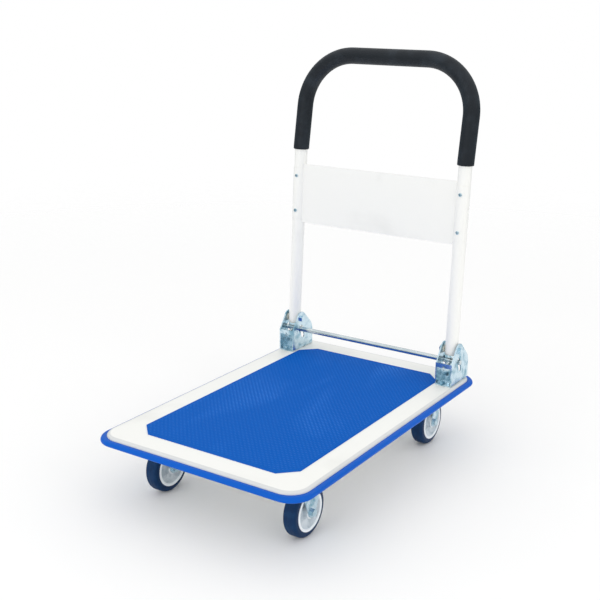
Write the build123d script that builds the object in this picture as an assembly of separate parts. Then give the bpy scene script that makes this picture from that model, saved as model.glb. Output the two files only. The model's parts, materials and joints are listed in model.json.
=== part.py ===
from build123d import *

import os
from math import cos, radians, sin

# Folding platform cart. Millimetres, +Z up, +X to the right, +Y towards the handle.
# The origin is on the floor under the middle of the deck.

# ---- deck -------------------------------------------------------------------
DECK_LENGTH = 720.0  # over the bumper
DECK_WIDTH = 475.0
BUMPER_CORNER_RADIUS = 45.0
BUMPER_OVERHANG = 10.0  # how far the bumper stands out of the pan's wall
BUMPER_HEIGHT = 11.5
BUMPER_EDGE_RADIUS = 5.0
BUMPER_LIP = 2.5  # thickness of the lip inside the pan's wall
BUMPER_LIP_HEIGHT = 6.0
BUMPER_FLOOR = 1.5
PAN_DEPTH = 14.0
PAN_CORNER_RADIUS = 41.0
PAN_EDGE_RADIUS = 6.0
SHEET = 1.5  # steel sheet of the pan and its channels
MAT_END_MARGIN = 51.5  # from the pan's wall to the mat
MAT_SIDE_MARGIN = 48.5
MAT_CHAMFER = 32.0
MAT_THICKNESS = 1.6

# ---- channels under the pan -------------------------------------------------
CHANNEL_HEIGHT = 15.5
CHANNEL_FLANGE = 7.0
CROSS_CHANNEL_MARGIN = 1.5  # beside the caster plates
CROSS_CHANNEL_INSET = 17.5  # from the pan's wall to the channel's end
CENTRE_CHANNEL_WIDTH = 63.0
CHANNEL_GAP = 2.0  # between channels, and from a channel to the pan's bend

# ---- handle -----------------------------------------------------------------
LEG_INSET = 35.2  # from the deck's side to the leg's axis
TUBE_RADIUS = 14.0
TUBE_WALL = 1.5
PIVOT_INSET = 77.0  # from the deck's rear end
PIVOT_RISE = 72.5  # above the pan
LOWER_LEAN = 3.3  # degrees back from upright
UPPER_LEAN = 9.3
LOWER_LENGTH = 400.0  # pivot to the bend in the leg, along the leg
UPPER_LENGTH = 205.0  # bend in the leg to the top bar, along the leg
LEG_BEND_RADIUS = 60.0
TOP_BEND_RADIUS = 112.0
TUBE_PAST_PIVOT = 8.5
GRIP_WALL = 3.6
GRIP_BELOW_BEND = 6.0  # the grip starts this far below the bend in the leg
SNUG = 0.05  # radial room between two pieces of one body
PLUG_FLANGE = 1.5
PLUG_FLANGE_STEP = 1.0  # flange inside the tube's outer radius
PLUG_DEPTH = 3.2

# ---- sheet panel between the legs -------------------------------------------
PANEL_BELOW_GRIP = 32.0
PANEL_HEIGHT = 133.0
PANEL_SHEET = 1.0
PANEL_SETBACK = 7.5  # the panel's front face ahead of the legs' axes
PANEL_TAB_CUT = 9.0  # how much shorter each tab is at its two ends
TAB_INNER_ANGLE = 62.0  # from the front of the leg, degrees
TAB_OUTER_ANGLE = 65.0
PANEL_SCREW_INSET = 27.0
PANEL_SCREW_RADIUS = 1.6
PANEL_SCREW_HEAD_RADIUS = 3.8
PANEL_SCREW_HEAD_HEIGHT = 2.4
PANEL_SCREW_LENGTH = 7.0

# ---- handle brackets --------------------------------------------------------
BRACKET_SHEET = 2.5
LEG_ROOM = 2.5  # from the leg to each ear
BRACKET_LENGTH = 82.0
BRACKET_FRONT_REACH = 35.0  # front edge ahead of the pivot
EAR_TOP_RADIUS = 16.5
EAR_FRONT_DROP = 22.0  # front corner of the ear below the pivot
EAR_REAR_DROP = 37.0  # middle of the ear's rear arch below the pivot
EAR_REAR_RADIUS = 34.0
BRACKET_FOOT_RADIUS = 3.5
BRIDGE_HEIGHT = 10.0
BRIDGE_NOTCH_WIDTH = 4.0
BRIDGE_NOTCH_HEIGHT = 3.5
SMALL_SLOT = (19.0, 29.0, 2.5, 8.0)  # ahead of the pivot, below it, width, height
BRACKET_BOLT_RADIUS = 3.0
BRACKET_BOLT_SPACING_X = 16.0
BRACKET_BOLT_INSET = 14.0  # from the bracket's ends
BRACKET_HEAD_ACROSS = 10.0
BRACKET_HEAD_HEIGHT = 4.0
BRACKET_NUT_HEIGHT = 5.0

# ---- pivots -----------------------------------------------------------------
PIVOT_RADIUS = 4.0
PIVOT_RUNNING_FIT = 0.05
PIVOT_HEAD_ACROSS = 13.0
PIVOT_HEAD_HEIGHT = 5.3
PIVOT_NUT_HEIGHT = 6.5
THREAD_PAST_NUT = 1.5
PIVOT_WASHER_RADIUS = 8.0
PIVOT_WASHER_GAP = 0.3

# ---- lock rod ---------------------------------------------------------------
ROD_RADIUS = 5.5
ROD_DROP = 25.0  # rod's axis below the pivot
ROD_PAST_EAR = 4.0
ROD_TRAVEL = 18.0
ROD_SLANT = 21.0  # degrees from the vertical
ROD_SLOT_CLEARANCE = 0.35
ROD_SLOT_OVER = 5.0  # slot above the rod's resting place
ROD_SLOT_UNDER = 0.5
CLIP_RIM = 3.0  # clip beyond the rod's radius
CLIP_THICKNESS = 1.2
CLIP_GROOVE = 1.0
CLIP_GAP = 0.3
SPRING_WIRE_RADIUS = 0.7
SPRING_COIL_RADIUS = 3.8  # middle of the wire
SPRING_TURNS = 12
SPRING_HOOK_RADIUS = 3.6

# ---- casters ----------------------------------------------------------------
WHEEL_RADIUS = 50.8
TYRE_WIDTH = 28.0
TREAD_EDGE_RADIUS = 7.5
TYRE_DEPTH = 16.8
HUB_RIM_WIDTH = 4.5  # how far the rim laps over the tyre's side
HUB_RIM_PROUD = 1.3  # rim beyond the tyre's side
HUB_WEB_HALF = 5.5
BOSS_RADIUS = 13.0
BOSS_GAP = 0.3  # boss to fork leg
BUSH_RADIUS = 9.0
SLEEVE_RADIUS = 6.0
SLEEVE_RUNNING_FIT = 0.06
AXLE_RADIUS = 4.0
AXLE_HEAD_ACROSS = 13.0
AXLE_HEAD_HEIGHT = 5.3
AXLE_NUT_HEIGHT = 6.5
WHEEL_SIDE_ROOM = 3.0  # from the tyre to each leg of the fork
FORK_SHEET = 2.5
FORK_END_RADIUS = 10.5
PLATE_LENGTH = 92.0
PLATE_SIDE = 19.5  # plate beyond the fork's leg, for the bolts
PLATE_OVER_WHEEL = 26.9  # plate's upper face above the top of the wheel
PLATE_THICKNESS = 2.5
PLATE_CORNER_RADIUS = 8.0
PLATE_BOLT_INSET = 10.0  # from the plate's edges
CASTER_BOLT_RADIUS = 4.0
BOLT_HOLE_CLEARANCE = 0.3
CASTER_HEAD_ACROSS = 13.0
CASTER_HEAD_HEIGHT = 5.3
CASTER_NUT_HEIGHT = 6.5
FRONT_WHEEL_SIDE_INSET = 75.5  # from the deck's side
FRONT_WHEEL_END_INSET = 130.0  # from the deck's front end
FRONT_LEG_TOP = 84.0  # length of the leg's upper edge
REAR_WHEEL_SIDE_INSET = 78.9
KINGPIN_INSET = 67.0  # from the deck's rear end
CASTER_TRAIL = 27.6  # kingpin to axle, measured level
REAR_LEG_TOP = 46.0
CROWN_DROP = 8.0  # crown's upper face below the plate
CROWN_RADIUS = 26.0
BALL_RADIUS = 3.0
BALL_CIRCLE_RADIUS = 19.0
BALL_COUNT = 16
BALL_GAP = 0.1
RACE_HALF_WIDTH = 5.0
RACE_SPLIT = 1.6  # gap between the two races
KINGPIN_RADIUS = 5.0
KINGPIN_SINK = 2.5  # flare of the rivet's flush upper head
KINGPIN_HEAD_RADIUS = 10.0
KINGPIN_HEAD_HEIGHT = 3.4
KINGPIN_HEAD_GAP = 0.3

# ---- worked out -------------------------------------------------------------
PAN_LENGTH = DECK_LENGTH - 2 * BUMPER_OVERHANG
PAN_WIDTH = DECK_WIDTH - 2 * BUMPER_OVERHANG
MAT_LENGTH = PAN_LENGTH - 2 * MAT_END_MARGIN
MAT_WIDTH = PAN_WIDTH - 2 * MAT_SIDE_MARGIN
CHANNEL_FOOT = 2 * WHEEL_RADIUS + PLATE_OVER_WHEEL
PAN_UNDERSIDE = CHANNEL_FOOT + CHANNEL_HEIGHT
PAN_TOP = PAN_UNDERSIDE + SHEET
PAN_FOOT = PAN_TOP - PAN_DEPTH
BUMPER_FOOT = PAN_FOOT - BUMPER_FLOOR
CROSS_CHANNEL_WIDTH = PLATE_LENGTH + 2 * CROSS_CHANNEL_MARGIN
CROSS_CHANNEL_LENGTH = PAN_WIDTH - 2 * CROSS_CHANNEL_INSET

LEG_X = DECK_WIDTH / 2 - LEG_INSET
PIVOT_Y = DECK_LENGTH / 2 - PIVOT_INSET
PIVOT_HEIGHT = PAN_TOP + PIVOT_RISE
LOWER_DIRECTION = Vector(0, sin(radians(LOWER_LEAN)), cos(radians(LOWER_LEAN)))
UPPER_DIRECTION = Vector(0, sin(radians(UPPER_LEAN)), cos(radians(UPPER_LEAN)))
GRIP_RADIUS = TUBE_RADIUS + GRIP_WALL
GRIP_START = LOWER_LENGTH - GRIP_BELOW_BEND
PANEL_START = GRIP_START - PANEL_BELOW_GRIP - PANEL_HEIGHT
EAR_INNER = TUBE_RADIUS + LEG_ROOM
EAR_OUTER = EAR_INNER + BRACKET_SHEET
BRACKET_FRONT = PIVOT_Y - BRACKET_FRONT_REACH
BRACKET_REAR = BRACKET_FRONT + BRACKET_LENGTH
BRACKET_FLOOR_TOP = PAN_TOP + BRACKET_SHEET
BRACKET_BOLT_SPACING_Y = BRACKET_LENGTH - 2 * BRACKET_BOLT_INSET
BRIDGE_TOP = PIVOT_HEIGHT - EAR_FRONT_DROP
BRIDGE_FOOT = BRIDGE_TOP - BRIDGE_HEIGHT
ROD_HEIGHT = PIVOT_HEIGHT - ROD_DROP
ROD_DOWN = Vector(0, sin(radians(ROD_SLANT)), -cos(radians(ROD_SLANT)))
CLIP_RADIUS = ROD_RADIUS + CLIP_RIM

TYRE_SEAT_RADIUS = WHEEL_RADIUS - TYRE_DEPTH
HUB_RIM_RADIUS = TYRE_SEAT_RADIUS + HUB_RIM_WIDTH
FORK_INNER = TYRE_WIDTH / 2 + WHEEL_SIDE_ROOM
FORK_OUTER = FORK_INNER + FORK_SHEET
PLATE_WIDTH = 2 * (FORK_OUTER + PLATE_SIDE)
PLATE_FOOT = CHANNEL_FOOT - PLATE_THICKNESS
PLATE_BOLT_SPACING_X = PLATE_WIDTH - 2 * PLATE_BOLT_INSET
PLATE_BOLT_SPACING_Y = PLATE_LENGTH - 2 * PLATE_BOLT_INSET
FRONT_WHEEL_X = DECK_WIDTH / 2 - FRONT_WHEEL_SIDE_INSET
FRONT_WHEEL_Y = FRONT_WHEEL_END_INSET - DECK_LENGTH / 2
REAR_WHEEL_X = DECK_WIDTH / 2 - REAR_WHEEL_SIDE_INSET
KINGPIN_Y = DECK_LENGTH / 2 - KINGPIN_INSET
REAR_WHEEL_Y = KINGPIN_Y - CASTER_TRAIL
CROWN_TOP = PLATE_FOOT - CROWN_DROP
BALL_HEIGHT = (PLATE_FOOT + CROWN_TOP) / 2
SIDES = {"left": -1, "right": 1}


def block(x, y, z):
    """A box that spans three (low, high) pairs."""
    spans = [high - low for low, high in (x, y, z)]
    middle = [(high + low) / 2 for low, high in (x, y, z)]
    return Pos(*middle) * Box(*spans)


def shaft_x(radius, x, y, z):
    """A cylinder along X that spans the pair x."""
    return Pos(sum(x) / 2, y, z) * Rot(0, 90, 0) * Cylinder(radius, x[1] - x[0])


def shaft_z(radius, z, x=0.0, y=0.0):
    """A cylinder along Z that spans the pair z."""
    return Pos(x, y, sum(z) / 2) * Cylinder(radius, z[1] - z[0])


def hexagon(across, height):
    """A hexagonal prism standing on the ground plane."""
    return extrude(RegularPolygon(across / 2, 6, major_radius=False), height)


def hex_x(across, x, y, z):
    """A hexagonal prism along X that spans the pair x."""
    return Pos(x[0], y, z) * Rot(0, 90, 0) * hexagon(across, x[1] - x[0])


def slab(length, width, radius, z):
    """A plate with rounded corners, long along Y, that spans the pair z."""
    outline = Pos(0, 0, z[0]) * RectangleRounded(width, length, radius)
    return extrude(outline, z[1] - z[0])


def side_plate(outline, x):
    """A plate whose outline is drawn in (y, z) and that spans the pair x."""
    return extrude(Plane.YZ.offset(x[0]) * outline, x[1] - x[0])


def mirrored(shape):
    """The same shape on the other side of the middle plane."""
    return mirror(shape, Plane.YZ)


def group(shapes):
    """Separate solids that share one node."""
    return Compound(children=[solid for shape in shapes for solid in shape.solids()])


def grid(spacing_x, spacing_y, x=0.0, y=0.0):
    """The four corners of a rectangle of holes."""
    return [(x + i * spacing_x / 2, y + j * spacing_y / 2) for i in (-1, 1) for j in (-1, 1)]


def leg_plane(along, x=0.0):
    """The plane square to the lower legs, at a distance from the pivots."""
    origin = Vector(x, PIVOT_Y, PIVOT_HEIGHT) + LOWER_DIRECTION * along
    return Plane(origin=origin, x_dir=(1, 0, 0), z_dir=LOWER_DIRECTION)


# ---- places of the fasteners --------------------------------------------------
def bracket_bolt_places():
    middle = (BRACKET_FRONT + BRACKET_REAR) / 2
    return [place for side in SIDES.values()
            for place in grid(BRACKET_BOLT_SPACING_X, BRACKET_BOLT_SPACING_Y, side * LEG_X, middle)]


def caster_places(side):
    """The middle of the front plate and of the rear plate on one side."""
    return [(side * FRONT_WHEEL_X, FRONT_WHEEL_Y), (side * REAR_WHEEL_X, KINGPIN_Y)]


def caster_bolt_places(centres):
    return [place for x, y in centres
            for place in grid(PLATE_BOLT_SPACING_X, PLATE_BOLT_SPACING_Y, x, y)]


def all_caster_bolt_places():
    return caster_bolt_places(caster_places(-1) + caster_places(1))


# ---- deck ---------------------------------------------------------------------
def deck_pan():
    """A pressed sheet pan, open below, drilled for the handle brackets."""
    outer = slab(PAN_LENGTH, PAN_WIDTH, PAN_CORNER_RADIUS, (PAN_FOOT, PAN_TOP))
    outer = fillet(outer.faces().sort_by(Axis.Z)[-1].edges(), PAN_EDGE_RADIUS)
    inner = slab(PAN_LENGTH - 2 * SHEET, PAN_WIDTH - 2 * SHEET, PAN_CORNER_RADIUS - SHEET,
                 (PAN_FOOT, PAN_UNDERSIDE))
    inner = fillet(inner.faces().sort_by(Axis.Z)[-1].edges(), PAN_EDGE_RADIUS - SHEET)
    pan = outer - inner
    for x, y in bracket_bolt_places():
        pan -= shaft_z(BRACKET_BOLT_RADIUS + BOLT_HOLE_CLEARANCE, (PAN_FOOT, PAN_TOP + 1), x, y)
    return pan


def deck_mat():
    """A thin mat with cut corners."""
    x, y, cut = MAT_WIDTH / 2, MAT_LENGTH / 2, MAT_CHAMFER
    corners = [(cut - x, y), (-x, y - cut), (-x, cut - y), (cut - x, -y),
               (x - cut, -y), (x, cut - y), (x, y - cut), (x - cut, y)]
    return extrude(Pos(0, 0, PAN_TOP) * Polygon(*corners, align=None), MAT_THICKNESS)


def deck_bumper():
    """A soft strip that grips the foot of the pan's wall."""
    top = BUMPER_FOOT + BUMPER_HEIGHT
    strip = slab(DECK_LENGTH, DECK_WIDTH, BUMPER_CORNER_RADIUS, (BUMPER_FOOT, top))
    rims = strip.faces().sort_by(Axis.Z)
    strip = fillet(rims[0].edges() + rims[-1].edges(), BUMPER_EDGE_RADIUS)
    inset = SHEET + BUMPER_LIP
    strip -= slab(PAN_LENGTH - 2 * inset, PAN_WIDTH - 2 * inset, PAN_CORNER_RADIUS - inset,
                  (BUMPER_FOOT - 1, top + 1))
    groove = slab(PAN_LENGTH, PAN_WIDTH, PAN_CORNER_RADIUS, (PAN_FOOT, top + 1))
    lip = slab(PAN_LENGTH - 2 * SHEET, PAN_WIDTH - 2 * SHEET, PAN_CORNER_RADIUS - SHEET,
               (PAN_FOOT, PAN_FOOT + BUMPER_LIP_HEIGHT))
    return strip - (groove - lip)


def hat_channel(width, length):
    """A hat section along Y, centred, its flanges against the underside of the pan."""
    half = width / 2
    z = (CHANNEL_FOOT, PAN_UNDERSIDE)
    body = block((-half, half), (-length / 2, length / 2), z)
    hollow = block((SHEET - half, half - SHEET), (-length / 2, length / 2), (z[0] + SHEET, z[1]))
    flanges = block((-half - CHANNEL_FLANGE, half + CHANNEL_FLANGE), (-length / 2, length / 2),
                    (z[1] - SHEET, z[1]))
    return body + flanges - hollow


def cross_channel(y):
    """The channel across the deck that one pair of casters is bolted to, trimmed to the pan's corners."""
    channel = Pos(0, y, 0) * Rot(0, 0, 90) * hat_channel(CROSS_CHANNEL_WIDTH, CROSS_CHANNEL_LENGTH)
    inset = PAN_EDGE_RADIUS + CHANNEL_GAP
    channel &= slab(PAN_LENGTH - 2 * inset, PAN_WIDTH - 2 * inset, PAN_CORNER_RADIUS - inset,
                    (CHANNEL_FOOT, PAN_UNDERSIDE))
    radius = CASTER_BOLT_RADIUS + BOLT_HOLE_CLEARANCE
    for x, bolt_y in all_caster_bolt_places():
        if abs(bolt_y - y) < CROSS_CHANNEL_WIDTH / 2:
            channel -= shaft_z(radius, (CHANNEL_FOOT - 1, CHANNEL_FOOT + SHEET + 1), x, bolt_y)
    return channel


def centre_channel():
    """The channel along the deck, between the two cross channels."""
    reach = CROSS_CHANNEL_WIDTH / 2 + CHANNEL_FLANGE + CHANNEL_GAP
    front, rear = FRONT_WHEEL_Y + reach, KINGPIN_Y - reach
    return Pos(0, (front + rear) / 2, 0) * hat_channel(CENTRE_CHANNEL_WIDTH, rear - front)


# ---- handle brackets ------------------------------------------------------------
def ear_outline():
    """One ear in (y, z): straight foot, slanted front, round top at the pivot, arched rear."""
    foot = Polygon((BRACKET_FRONT, PAN_TOP), (BRACKET_REAR, PAN_TOP), (BRACKET_FRONT, BRIDGE_TOP), align=None)
    top = Pos(PIVOT_Y, PIVOT_HEIGHT) * Circle(EAR_TOP_RADIUS)
    arch = Pos(BRACKET_REAR - EAR_REAR_RADIUS, PIVOT_HEIGHT - EAR_REAR_DROP) * Circle(EAR_REAR_RADIUS)
    return make_hull(foot.edges() + top.edges() + arch.edges())


def rod_slot():
    """The slanted slot of the lock rod, as a solid through the whole bracket."""
    radius = ROD_RADIUS + ROD_SLOT_CLEARANCE
    rest = Vector(0, PIVOT_Y, ROD_HEIGHT)
    high = rest - ROD_DOWN * ROD_SLOT_OVER
    low = rest + ROD_DOWN * (ROD_TRAVEL + ROD_SLOT_UNDER)
    ends = [Pos(point.Y, point.Z) * Circle(radius) for point in (high, low)]
    outline = make_hull(ends[0].edges() + ends[1].edges())
    return side_plate(outline, (-EAR_OUTER - 1, EAR_OUTER + 1))


def bracket(side):
    """A stamped channel: floor, two ears and a bridge across the front."""
    x = (-EAR_OUTER, EAR_OUTER)
    ears = side_plate(ear_outline(), x)
    y_room = (BRACKET_FRONT - 1, BRACKET_REAR + 1)
    inside = block((-EAR_INNER, EAR_INNER), y_room, (BRACKET_FLOOR_TOP, 2 * PIVOT_HEIGHT))
    foot = ears.faces().sort_by(Axis.Z)[0].edges().filter_by(Axis.Y)
    body = fillet(foot, BRACKET_FOOT_RADIUS) - inside
    bridge = block((-EAR_INNER, EAR_INNER), (BRACKET_FRONT, BRACKET_FRONT + BRACKET_SHEET),
                   (BRIDGE_FOOT, BRIDGE_TOP))
    bridge -= block((-BRIDGE_NOTCH_WIDTH / 2, BRIDGE_NOTCH_WIDTH / 2), y_room,
                    (BRIDGE_FOOT - 1, BRIDGE_FOOT + BRIDGE_NOTCH_HEIGHT))
    body = body + bridge - rod_slot()
    body -= shaft_x(PIVOT_RADIUS + SNUG, (x[0] - 1, x[1] + 1), PIVOT_Y, PIVOT_HEIGHT)
    ahead, below, width, height = SMALL_SLOT
    y, z = PIVOT_Y - ahead, PIVOT_HEIGHT - below
    body -= block((x[0] - 1, x[1] + 1), (y - width / 2, y + width / 2), (z - height / 2, z + height / 2))
    body = Pos(side * LEG_X, 0, 0) * body
    for bolt_x, bolt_y in bracket_bolt_places():
        body -= shaft_z(BRACKET_BOLT_RADIUS + BOLT_HOLE_CLEARANCE,
                        (PAN_TOP - 1, BRACKET_FLOOR_TOP + 1), bolt_x, bolt_y)
    return body


def bracket_bolts():
    """Hexagon bolts that hold the brackets down through the pan."""
    end = PAN_UNDERSIDE - BRACKET_NUT_HEIGHT - THREAD_PAST_NUT
    return group(
        Pos(x, y, BRACKET_FLOOR_TOP) * hexagon(BRACKET_HEAD_ACROSS, BRACKET_HEAD_HEIGHT)
        + shaft_z(BRACKET_BOLT_RADIUS, (end, BRACKET_FLOOR_TOP), x, y)
        for x, y in bracket_bolt_places())


def bracket_nuts():
    foot = PAN_UNDERSIDE - BRACKET_NUT_HEIGHT
    return group(
        Pos(x, y, foot) * hexagon(BRACKET_HEAD_ACROSS, BRACKET_NUT_HEIGHT)
        - shaft_z(BRACKET_BOLT_RADIUS + SNUG, (foot - 1, PAN_TOP), x, y)
        for x, y in bracket_bolt_places())


def pivot_bolts():
    """One bolt through each bracket and leg, its head on the right."""
    end = -EAR_OUTER - PIVOT_NUT_HEIGHT - THREAD_PAST_NUT
    return group(
        hex_x(PIVOT_HEAD_ACROSS, (x + EAR_OUTER, x + EAR_OUTER + PIVOT_HEAD_HEIGHT), PIVOT_Y, PIVOT_HEIGHT)
        + shaft_x(PIVOT_RADIUS, (x + end, x + EAR_OUTER), PIVOT_Y, PIVOT_HEIGHT)
        for x in (-LEG_X, LEG_X))


def pivot_nuts():
    return group(
        hex_x(PIVOT_HEAD_ACROSS, (x - EAR_OUTER - PIVOT_NUT_HEIGHT, x - EAR_OUTER), PIVOT_Y, PIVOT_HEIGHT)
        - shaft_x(PIVOT_RADIUS + SNUG, (x - 2 * EAR_OUTER, x), PIVOT_Y, PIVOT_HEIGHT)
        for x in (-LEG_X, LEG_X))


def pivot_washers():
    """Nylon washers that centre each leg between its two ears."""
    near, far = TUBE_RADIUS + PIVOT_WASHER_GAP, EAR_INNER
    bore = shaft_x(PIVOT_RADIUS + SNUG, (-EAR_OUTER, EAR_OUTER), PIVOT_Y, PIVOT_HEIGHT)
    pair = [shaft_x(PIVOT_WASHER_RADIUS, x, PIVOT_Y, PIVOT_HEIGHT) - bore
            for x in ((-far, -near), (near, far))]
    return group(Pos(x, 0, 0) * washer for x in (-LEG_X, LEG_X) for washer in pair)


# ---- handle ---------------------------------------------------------------------
def handle_path(along):
    """The handle's centre line, from a distance past the pivot up, over and down again."""
    start = Vector(LEG_X, PIVOT_Y, PIVOT_HEIGHT) + LOWER_DIRECTION * along
    knee = Vector(LEG_X, PIVOT_Y, PIVOT_HEIGHT) + LOWER_DIRECTION * LOWER_LENGTH
    top = knee + UPPER_DIRECTION * UPPER_LENGTH
    right = [start, knee, top]
    left = [Vector(-p.X, p.Y, p.Z) for p in reversed(right)]
    radii = [LEG_BEND_RADIUS, TOP_BEND_RADIUS, TOP_BEND_RADIUS, LEG_BEND_RADIUS]
    return FilletPolyline(*right, *left, radius=radii)


def handle_ring(along, outer, inner):
    """A tube of those radii along the handle's centre line."""
    section = leg_plane(along, LEG_X) * (Circle(outer) - Circle(inner))
    return sweep(section, path=handle_path(along))


def panel_screw_planes():
    """Planes square to the legs at the four panel screws."""
    heights = (PANEL_START + PANEL_SCREW_INSET, PANEL_START + PANEL_HEIGHT - PANEL_SCREW_INSET)
    return [leg_plane(along, x) for along in heights for x in (-LEG_X, LEG_X)]


def front_pin(radius, near, far):
    """A cylinder that points to the front, between two distances from the leg's axis."""
    return Pos(0, -(near + far) / 2, 0) * Rot(90, 0, 0) * Cylinder(radius, far - near)


def handle_tube():
    """The bent tube, drilled for the pivots and the panel screws."""
    tube = handle_ring(-TUBE_PAST_PIVOT, TUBE_RADIUS, TUBE_RADIUS - TUBE_WALL)
    for x in (-LEG_X, LEG_X):
        tube -= shaft_x(PIVOT_RADIUS + PIVOT_RUNNING_FIT, (x - 2 * TUBE_RADIUS, x + 2 * TUBE_RADIUS),
                        PIVOT_Y, PIVOT_HEIGHT)
    for plane in panel_screw_planes():
        tube -= plane * front_pin(PANEL_SCREW_RADIUS + SNUG, 0, 2 * TUBE_RADIUS)
    return tube


def handle_grip():
    """The foam sleeve over the top bar and the upper part of both legs."""
    return handle_ring(GRIP_START, GRIP_RADIUS, TUBE_RADIUS + SNUG)


def handle_panel():
    """A sheet between the legs, with tabs that wrap round the front of each leg."""
    inner = TUBE_RADIUS + SNUG
    outer = inner + PANEL_SHEET
    size = TAB_INNER_ANGLE + TAB_OUTER_ANGLE
    arcs = [CenterArc((0, 0), radius, -90 - TAB_OUTER_ANGLE, size) for radius in (inner, outer)]
    closing = [Line(arcs[0] @ end, arcs[1] @ end) for end in (0, 1)]
    wrap = make_face(arcs + closing)
    left = Pos(-LEG_X, 0) * wrap
    tabs = extrude(leg_plane(PANEL_START + PANEL_TAB_CUT) * (left + mirror(left, Plane.YZ)),
                   PANEL_HEIGHT - 2 * PANEL_TAB_CUT)
    bend = radians(TAB_INNER_ANGLE)
    reach = LEG_X - (inner + 0.65 * PANEL_SHEET) * sin(bend)
    flat = Pos(0, PANEL_SHEET / 2 - PANEL_SETBACK) * Rectangle(2 * reach, PANEL_SHEET)
    panel = tabs + extrude(leg_plane(PANEL_START) * flat, PANEL_HEIGHT)
    for plane in panel_screw_planes():
        panel -= plane * front_pin(PANEL_SCREW_RADIUS + SNUG, 0, 2 * TUBE_RADIUS)
    return panel


def panel_screws():
    seat = TUBE_RADIUS + SNUG + PANEL_SHEET
    screw = front_pin(PANEL_SCREW_RADIUS, seat - PANEL_SCREW_LENGTH, seat)
    head = front_pin(PANEL_SCREW_HEAD_RADIUS, seat, seat + PANEL_SCREW_HEAD_HEIGHT)
    face = head.faces().sort_by(Axis.Y)[0]
    screw += fillet(face.edges(), PANEL_SCREW_HEAD_HEIGHT / 2)
    return group(plane * screw for plane in panel_screw_planes())


def tube_plugs():
    """A plug in the lower end of each leg."""
    flange = shaft_z(TUBE_RADIUS - PLUG_FLANGE_STEP, (-PLUG_FLANGE, 0))
    body = shaft_z(TUBE_RADIUS - TUBE_WALL - SNUG, (0, PLUG_DEPTH))
    return group(leg_plane(-TUBE_PAST_PIVOT, x) * (flange + body) for x in (-LEG_X, LEG_X))


# ---- lock -----------------------------------------------------------------------
def lock_rod():
    """The foot rod through all four ears, grooved for its clips."""
    end = LEG_X + EAR_OUTER + ROD_PAST_EAR
    rod = shaft_x(ROD_RADIUS, (-end, end), PIVOT_Y, ROD_HEIGHT)
    rod = chamfer(rod.edges().filter_by(GeomType.CIRCLE), CLIP_GROOVE)
    for x in clip_spans():
        rod -= shaft_x(ROD_RADIUS + 1, x, PIVOT_Y, ROD_HEIGHT) - shaft_x(
            ROD_RADIUS - CLIP_GROOVE, x, PIVOT_Y, ROD_HEIGHT)
    return rod


def clip_spans():
    """Where the two clips stand along the rod, just inside the inner ears."""
    far = LEG_X - EAR_OUTER - CLIP_GAP
    return [(-far, CLIP_THICKNESS - far), (far - CLIP_THICKNESS, far)]


def rod_clips():
    """Spring clips that stop the rod from sliding sideways, open towards the deck."""
    clips = []
    for x in clip_spans():
        ring = shaft_x(CLIP_RADIUS, x, PIVOT_Y, ROD_HEIGHT)
        ring -= shaft_x(ROD_RADIUS - CLIP_GROOVE, x, PIVOT_Y, ROD_HEIGHT)
        half = ROD_RADIUS - 2 * CLIP_GROOVE
        mouth = block(x, (PIVOT_Y - half, PIVOT_Y + half), (ROD_HEIGHT - 2 * CLIP_RADIUS, ROD_HEIGHT))
        clips.append(ring - mouth)
    return group(clips)


def lock_spring(side):
    """A close-wound tension spring from the bridge's notch to the rod, as a ribbed barrel."""
    rod = Vector(side * LEG_X, PIVOT_Y, ROD_HEIGHT)
    ring_radius = ROD_RADIUS + SPRING_WIRE_RADIUS + ROD_SLOT_CLEARANCE
    notch_top = BRIDGE_FOOT + BRIDGE_NOTCH_HEIGHT - 2 * SPRING_WIRE_RADIUS
    hook = Vector(rod.X, BRACKET_FRONT + BRACKET_SHEET / 2, notch_top - SPRING_HOOK_RADIUS)
    pull = hook - rod
    gap = pull.length - ring_radius - SPRING_HOOK_RADIUS
    coil_length = 2 * SPRING_WIRE_RADIUS * SPRING_TURNS
    start = ring_radius + (gap - coil_length) / 2
    step = 2 * SPRING_WIRE_RADIUS
    ribs = [CenterArc((SPRING_COIL_RADIUS, start + step * (turn + 0.5)), SPRING_WIRE_RADIUS, -90, 180)
            for turn in range(SPRING_TURNS)]
    end = start + coil_length
    shape = ribs + [Line((SPRING_COIL_RADIUS, end), (0, end)), Line((0, end), (0, start)),
                    Line((0, start), (SPRING_COIL_RADIUS, start))]
    barrel = revolve(Plane.XZ * make_face(shape), Axis.Z)
    wire = shaft_z(SPRING_WIRE_RADIUS, (ring_radius, pull.length - SPRING_HOOK_RADIUS))
    along = Plane(origin=rod, x_dir=(1, 0, 0), z_dir=pull)
    turn = Rot(0, 90, 0)
    rings = [Pos(*rod) * turn * Torus(ring_radius, SPRING_WIRE_RADIUS),
             Pos(*hook) * turn * Torus(SPRING_HOOK_RADIUS, SPRING_WIRE_RADIUS)]
    return along * (barrel + wire) + rings[0] + rings[1]


# ---- casters --------------------------------------------------------------------
def tyre(x, y):
    """A solid tyre with a rounded tread."""
    depth = WHEEL_RADIUS - TYRE_SEAT_RADIUS
    section = Pos(0, TYRE_SEAT_RADIUS + depth / 2) * Rectangle(TYRE_WIDTH, depth)
    section = fillet(section.vertices().group_by(Axis.Y)[-1], TREAD_EDGE_RADIUS)
    return Pos(x, y, WHEEL_RADIUS) * revolve(Plane.XZ * section, Axis.X)


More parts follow.
